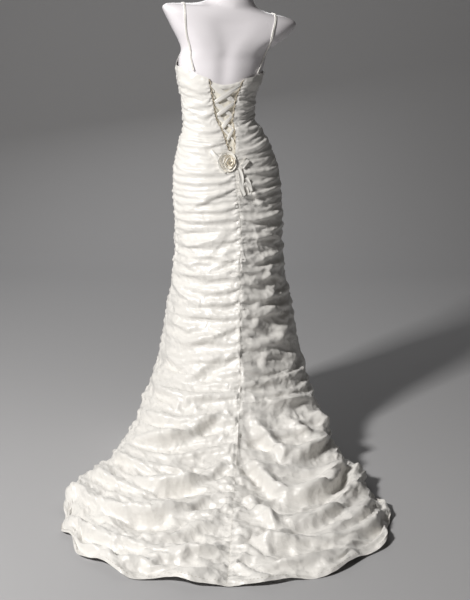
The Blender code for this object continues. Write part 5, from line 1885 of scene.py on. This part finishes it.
    def build_loops(self, material: bpy.types.Material) -> list[bpy.types.Object]:
        """Cord along each edge that bulges into the opening once for each loop; its tan is partly its own
        colour and partly painted shade along the edge.
        """
        pieces = []
        share = np.linspace(0.0, 1.0, self.loop_count * 14 + 1)
        down = 0.003 + (LACING_FOOT - 0.026) * share
        wave = np.sin(math.pi * self.loop_count * share) ** 2
        inset = (self.loop_radius + self.loop_reach * wave) / SURFACE.opening(down)
        for name, side in (("loops_left", 1.0), ("loops_right", -1.0)):
            path = SURFACE.trim_point(side * (1.0 - inset), down, 0.0020 + 0.0016 * wave)
            tube = tube_points(path, self.loop_radius, 8)
            piece = joined([grid_mesh(name, tube, measured_uv(tube), closed=True)], f"cord_{name}")
            dress(piece, material, "satin_ribbon", name)
            pieces.append(piece)
        return pieces


# ---- Flower and bow ------------------------------------------------------------------------------

@dataclass(frozen=True)
class FlowerAndBow:
    """Flower rolled from one strip of cloth at the foot of the lacing, with ribbon round it."""
    strip_grid: tuple[int, int] = (420, 14)     # along the strip and across it
    strip_thickness: float = 0.0006
    turns: float = 3.7
    radius: float = 0.0245
    core: float = 0.0030
    height: float = 0.0105
    flare: float = 0.0090           # how far the rim of the outer turn opens
    ripple: float = 0.0022          # unevenness of the turns
    rim_ripple: float = 0.0012      # and of the rim's height
    centre_shift: float = 0.007     # of the innermost turn, towards the wearer's left
    stretch: float = 1.22           # how much taller than wide the flower is
    base_lift: float = 0.0042
    ribbon_width: float = 0.0155
    metres_per_degree: float = 0.002    # round the gown where the bow lies
    loop_rise: float = 0.0052       # of a loop's way back over its way out
    loop_pinch: float = 0.0022      # how much less it rises at the fold
    ribbon_grid: tuple[int, int] = (60, 15)
    ribbon_thickness: float = 0.0005
    ribbon_cup: float = 0.0011      # how far its edges stand up
    ribbon_wave: float = 0.0007
    end_slant: float = 0.0035       # of a tail's cut end, to each side of its middle

    def build_flower(self, material: bpy.types.Material) -> bpy.types.Object:
        """The strip runs outwards in a flattened spiral, its rim waving and flaring more and more."""
        steps, levels = self.strip_grid
        share = np.linspace(0.0, 1.0, steps)[:, None]
        level = np.linspace(1.0, 0.0, levels)[None, :]
        turn = math.tau * self.turns * share
        noise = LatticeNoise(3)
        petal = np.abs(np.sin(1.31 * turn + 0.4)) ** 0.7
        reach = self.core + (self.radius - self.core) * share ** 0.85
        reach = reach + self.flare * level ** 1.6 * share * (0.35 + 0.65 * petal)
        reach = reach + self.ripple * noise(turn / 1.1, level * 2.0) * (0.3 + share)
        rim = self.height * (1.0 - 0.55 * share) * (0.72 + 0.28 * petal)
        lift = self.base_lift + rim * level
        lift = lift + self.rim_ripple * noise(turn / 0.7 + 4.0, level * 3.0 + 8.0) * level
        centre = SURFACE.point(FLOWER_ANGLE, FLOWER_DOWN)
        outward = SURFACE.normal(FLOWER_ANGLE, FLOWER_DOWN)
        across = unit(np.cross((0.0, 0.0, 1.0), outward))
        upward = np.cross(outward, across)
        shift = self.centre_shift * (1.0 - share)
        points = (centre + outward * lift[..., None]
                  + across * (reach * np.cos(turn) + shift)[..., None]
                  + upward * (reach * self.stretch * np.sin(turn))[..., None])
        uv = np.stack(np.broadcast_arrays(share, 1.0 - level), axis=-1)
        piece = grid_mesh("flower", points, uv)
        thicken(piece, self.strip_thickness, 0.0)
        dress(piece, material, "rose_fabric", "rose")
        return piece

    def build_ribbons(self, material: bpy.types.Material) -> list[bpy.types.Object]:
        """Tails that lie on the gown, and loops that run out and come back over themselves."""
        pieces = []
        rows, columns = self.ribbon_grid
        share = np.linspace(0.0, 1.0, rows)[:, None]
        across = np.linspace(-1.0, 1.0, columns)[None, :]
        width = 0.5 * self.ribbon_width * (0.62 + 0.38 * np.sin(math.pi * np.clip(share, 0.0, 0.75)))
        for number, (name, guide) in enumerate(BOW_RIBBONS.items()):
            is_loop = "loop" in name
            route = np.array(guide) * (self.metres_per_degree, 1.0, 1.0)
            if is_loop:
                back = route[::-1] + np.array((0.0, 0.002, self.loop_rise))
                back[0, 2] -= self.loop_pinch
                route = np.concatenate((route, back))
            path = smooth_path(route, rows)
            angle = path[:, 0] / self.metres_per_degree
            normal = SURFACE.normal(angle, path[:, 1])
            centre = SURFACE.point(angle, path[:, 1]) + normal * path[:, 2:]
            along = np.gradient(centre, axis=0)
            flat = along - normal * np.sum(along * normal, axis=-1, keepdims=True)
            forward = unit(flat[:1].repeat(len(flat), axis=0) if is_loop else flat)
            side = np.cross(forward, normal)
            cup = (self.ribbon_cup * (across ** 2 - 0.4)
                   + self.ribbon_wave * np.sin(3.0 * across + 9.0 * share + number))
            slant = self.end_slant * across * smooth_step(0.9, 1.0, share) * (0.0 if is_loop else 1.0)
            points = (centre[:, None] + side[:, None] * (across * width)[..., None]
                      + normal[:, None] * cup[..., None] + forward[:, None] * slant[..., None])
            piece = grid_mesh(f"ribbon_{name}", points, measured_uv(points))
            thicken(piece, self.ribbon_thickness, 0.0)
            dress(piece, material, "satin_ribbon", name)
            pieces.append(piece)
        return pieces


# ---- Stage ---------------------------------------------------------------------------------------

class Lamp(NamedTuple):
    """Square soft light and the point that it faces."""
    name: str
    place: tuple[float, float, float]
    aim: tuple[float, float, float]
    size: float
    power: float
    colour: tuple[float, float, float]


LAMPS = (
    Lamp("key", (2.36, 2.52, 2.95), (0.0, 0.25, 0.6), 0.5, 172.0, (1.0, 0.98, 0.955)),
    Lamp("fill", (-2.6, 2.8, 1.6), (0.0, 0.2, 0.7), 2.2, 0.9, (1.0, 0.96, 0.90)),
    Lamp("front", (0.6, -3.2, 2.6), (0.0, 0.0, 0.8), 2.4, 26.0, (1.0, 1.0, 1.0)),
)


@dataclass(frozen=True)
class Studio:
    """Plain floor, soft lights and the camera behind the dress."""
    camera_place: tuple[float, float, float] = (-0.02, 3.10, 1.30)
    pitch: float = 14.6             # degrees down
    lens: float = 55.8              # on a sensor 36 mm along the picture's long side
    floor_half: float = 9.0
    floor_end: float = -4.5         # where the floor has bent up into the backdrop
    floor_bend: float = 2.0
    floor_drop: float = 0.0005      # of the floor below the gown's hem
    floor_colour: tuple[float, float, float, float] = (0.46, 0.46, 0.47, 1.0)
    air_colour: tuple[float, float, float, float] = (0.86, 0.82, 0.77, 1.0)
    air_strength: float = 0.045

    def build_floor(self) -> None:
        """Floor that bends up into the backdrop in front of the dress."""
        bend = np.radians(np.linspace(0.0, 90.0, 25))[:, None]
        wide = np.array((-1.0, 1.0))[None, :] * self.floor_half
        along = self.floor_end + self.floor_bend * (1.0 - np.sin(bend)) + 0.0 * wide
        rise = self.floor_bend * (1.0 - np.cos(bend)) + 0.0 * wide
        sweep = np.stack((wide + 0.0 * bend, along, rise - self.floor_drop), axis=-1)
        near = sweep[:1] + np.array((0.0, self.floor_half - self.floor_end, 0.0))
        top = sweep[-1:] + np.array((0.0, 0.0, self.floor_half))
        points = np.concatenate((near, sweep, top))
        floor = grid_mesh("floor", points, measured_uv(points))
        paint = NodeDesk("floor_matt")
        paint.fill(paint.shader, Base_Color=self.floor_colour, Roughness=0.8)
        floor.data.materials.append(paint.material)

    def build_lights(self) -> None:
        """The lamps, and faint light from all round."""
        for lamp in LAMPS:
            data = bpy.data.lights.new(lamp.name, "AREA")
            data.size = lamp.size
            data.energy = lamp.power
            data.color = lamp.colour
            thing = placed(lamp.name, data)
            thing.location = lamp.place
            aim = Vector(lamp.aim) - Vector(lamp.place)
            thing.rotation_euler = aim.to_track_quat("-Z", "Y").to_euler()
        world = bpy.data.worlds.new("studio")
        world.use_nodes = True
        air = world.node_tree.nodes["Background"].inputs
        air["Color"].default_value = self.air_colour
        air["Strength"].default_value = self.air_strength
        bpy.context.scene.world = world
        bpy.context.scene.view_settings.view_transform = "Standard"

    def build_camera(self) -> None:
        """The camera, behind the dress and looking a little down on it."""
        data = bpy.data.cameras.new("camera")
        data.lens = self.lens
        data.sensor_width = 36.0
        data.sensor_fit = "AUTO"
        camera = placed("camera", data)
        camera.location = self.camera_place
        camera.rotation_euler = (math.radians(90.0 - self.pitch), 0.0, math.radians(180.0))
        bpy.context.scene.camera = camera


# ---- Whole scene ---------------------------------------------------------------------------------

def main() -> None:
    """Build every class's pieces in order and report them."""
    studio = Studio()
    studio.build_floor()
    studio.build_lights()
    studio.build_camera()
    taffeta = TAFFETA.make()
    satin = SATIN.make()
    form = DressForm()
    torso = form.build_torso(FORM_GLOSS.make())
    form.finish_stand()
    pieces = [torso, *Straps().build(torso, satin)]
    opening = LacedOpening()
    pieces.append(opening.build_panel(LINING.make(), satin))
    pieces.extend(opening.build_ribbons(satin))
    pieces.extend(opening.build_loops(CORDING_AND_EDGE_SHADE.make()))
    corsage = FlowerAndBow()
    pieces.append(corsage.build_flower(PetalFinish().make()))
    pieces.extend(corsage.build_ribbons(satin))
    # Dark thread: the stitches paint a dotted shade line along the seams and the hem.
    thread = SEAM_SHADE_THREAD.make()
    for panel in gown_panels():
        pieces.extend(panel.build(taffeta, thread))
    for piece in pieces:
        LOG.info("%s: %d faces", piece.name, len(piece.data.polygons))


if __name__ == "__main__":
    main()
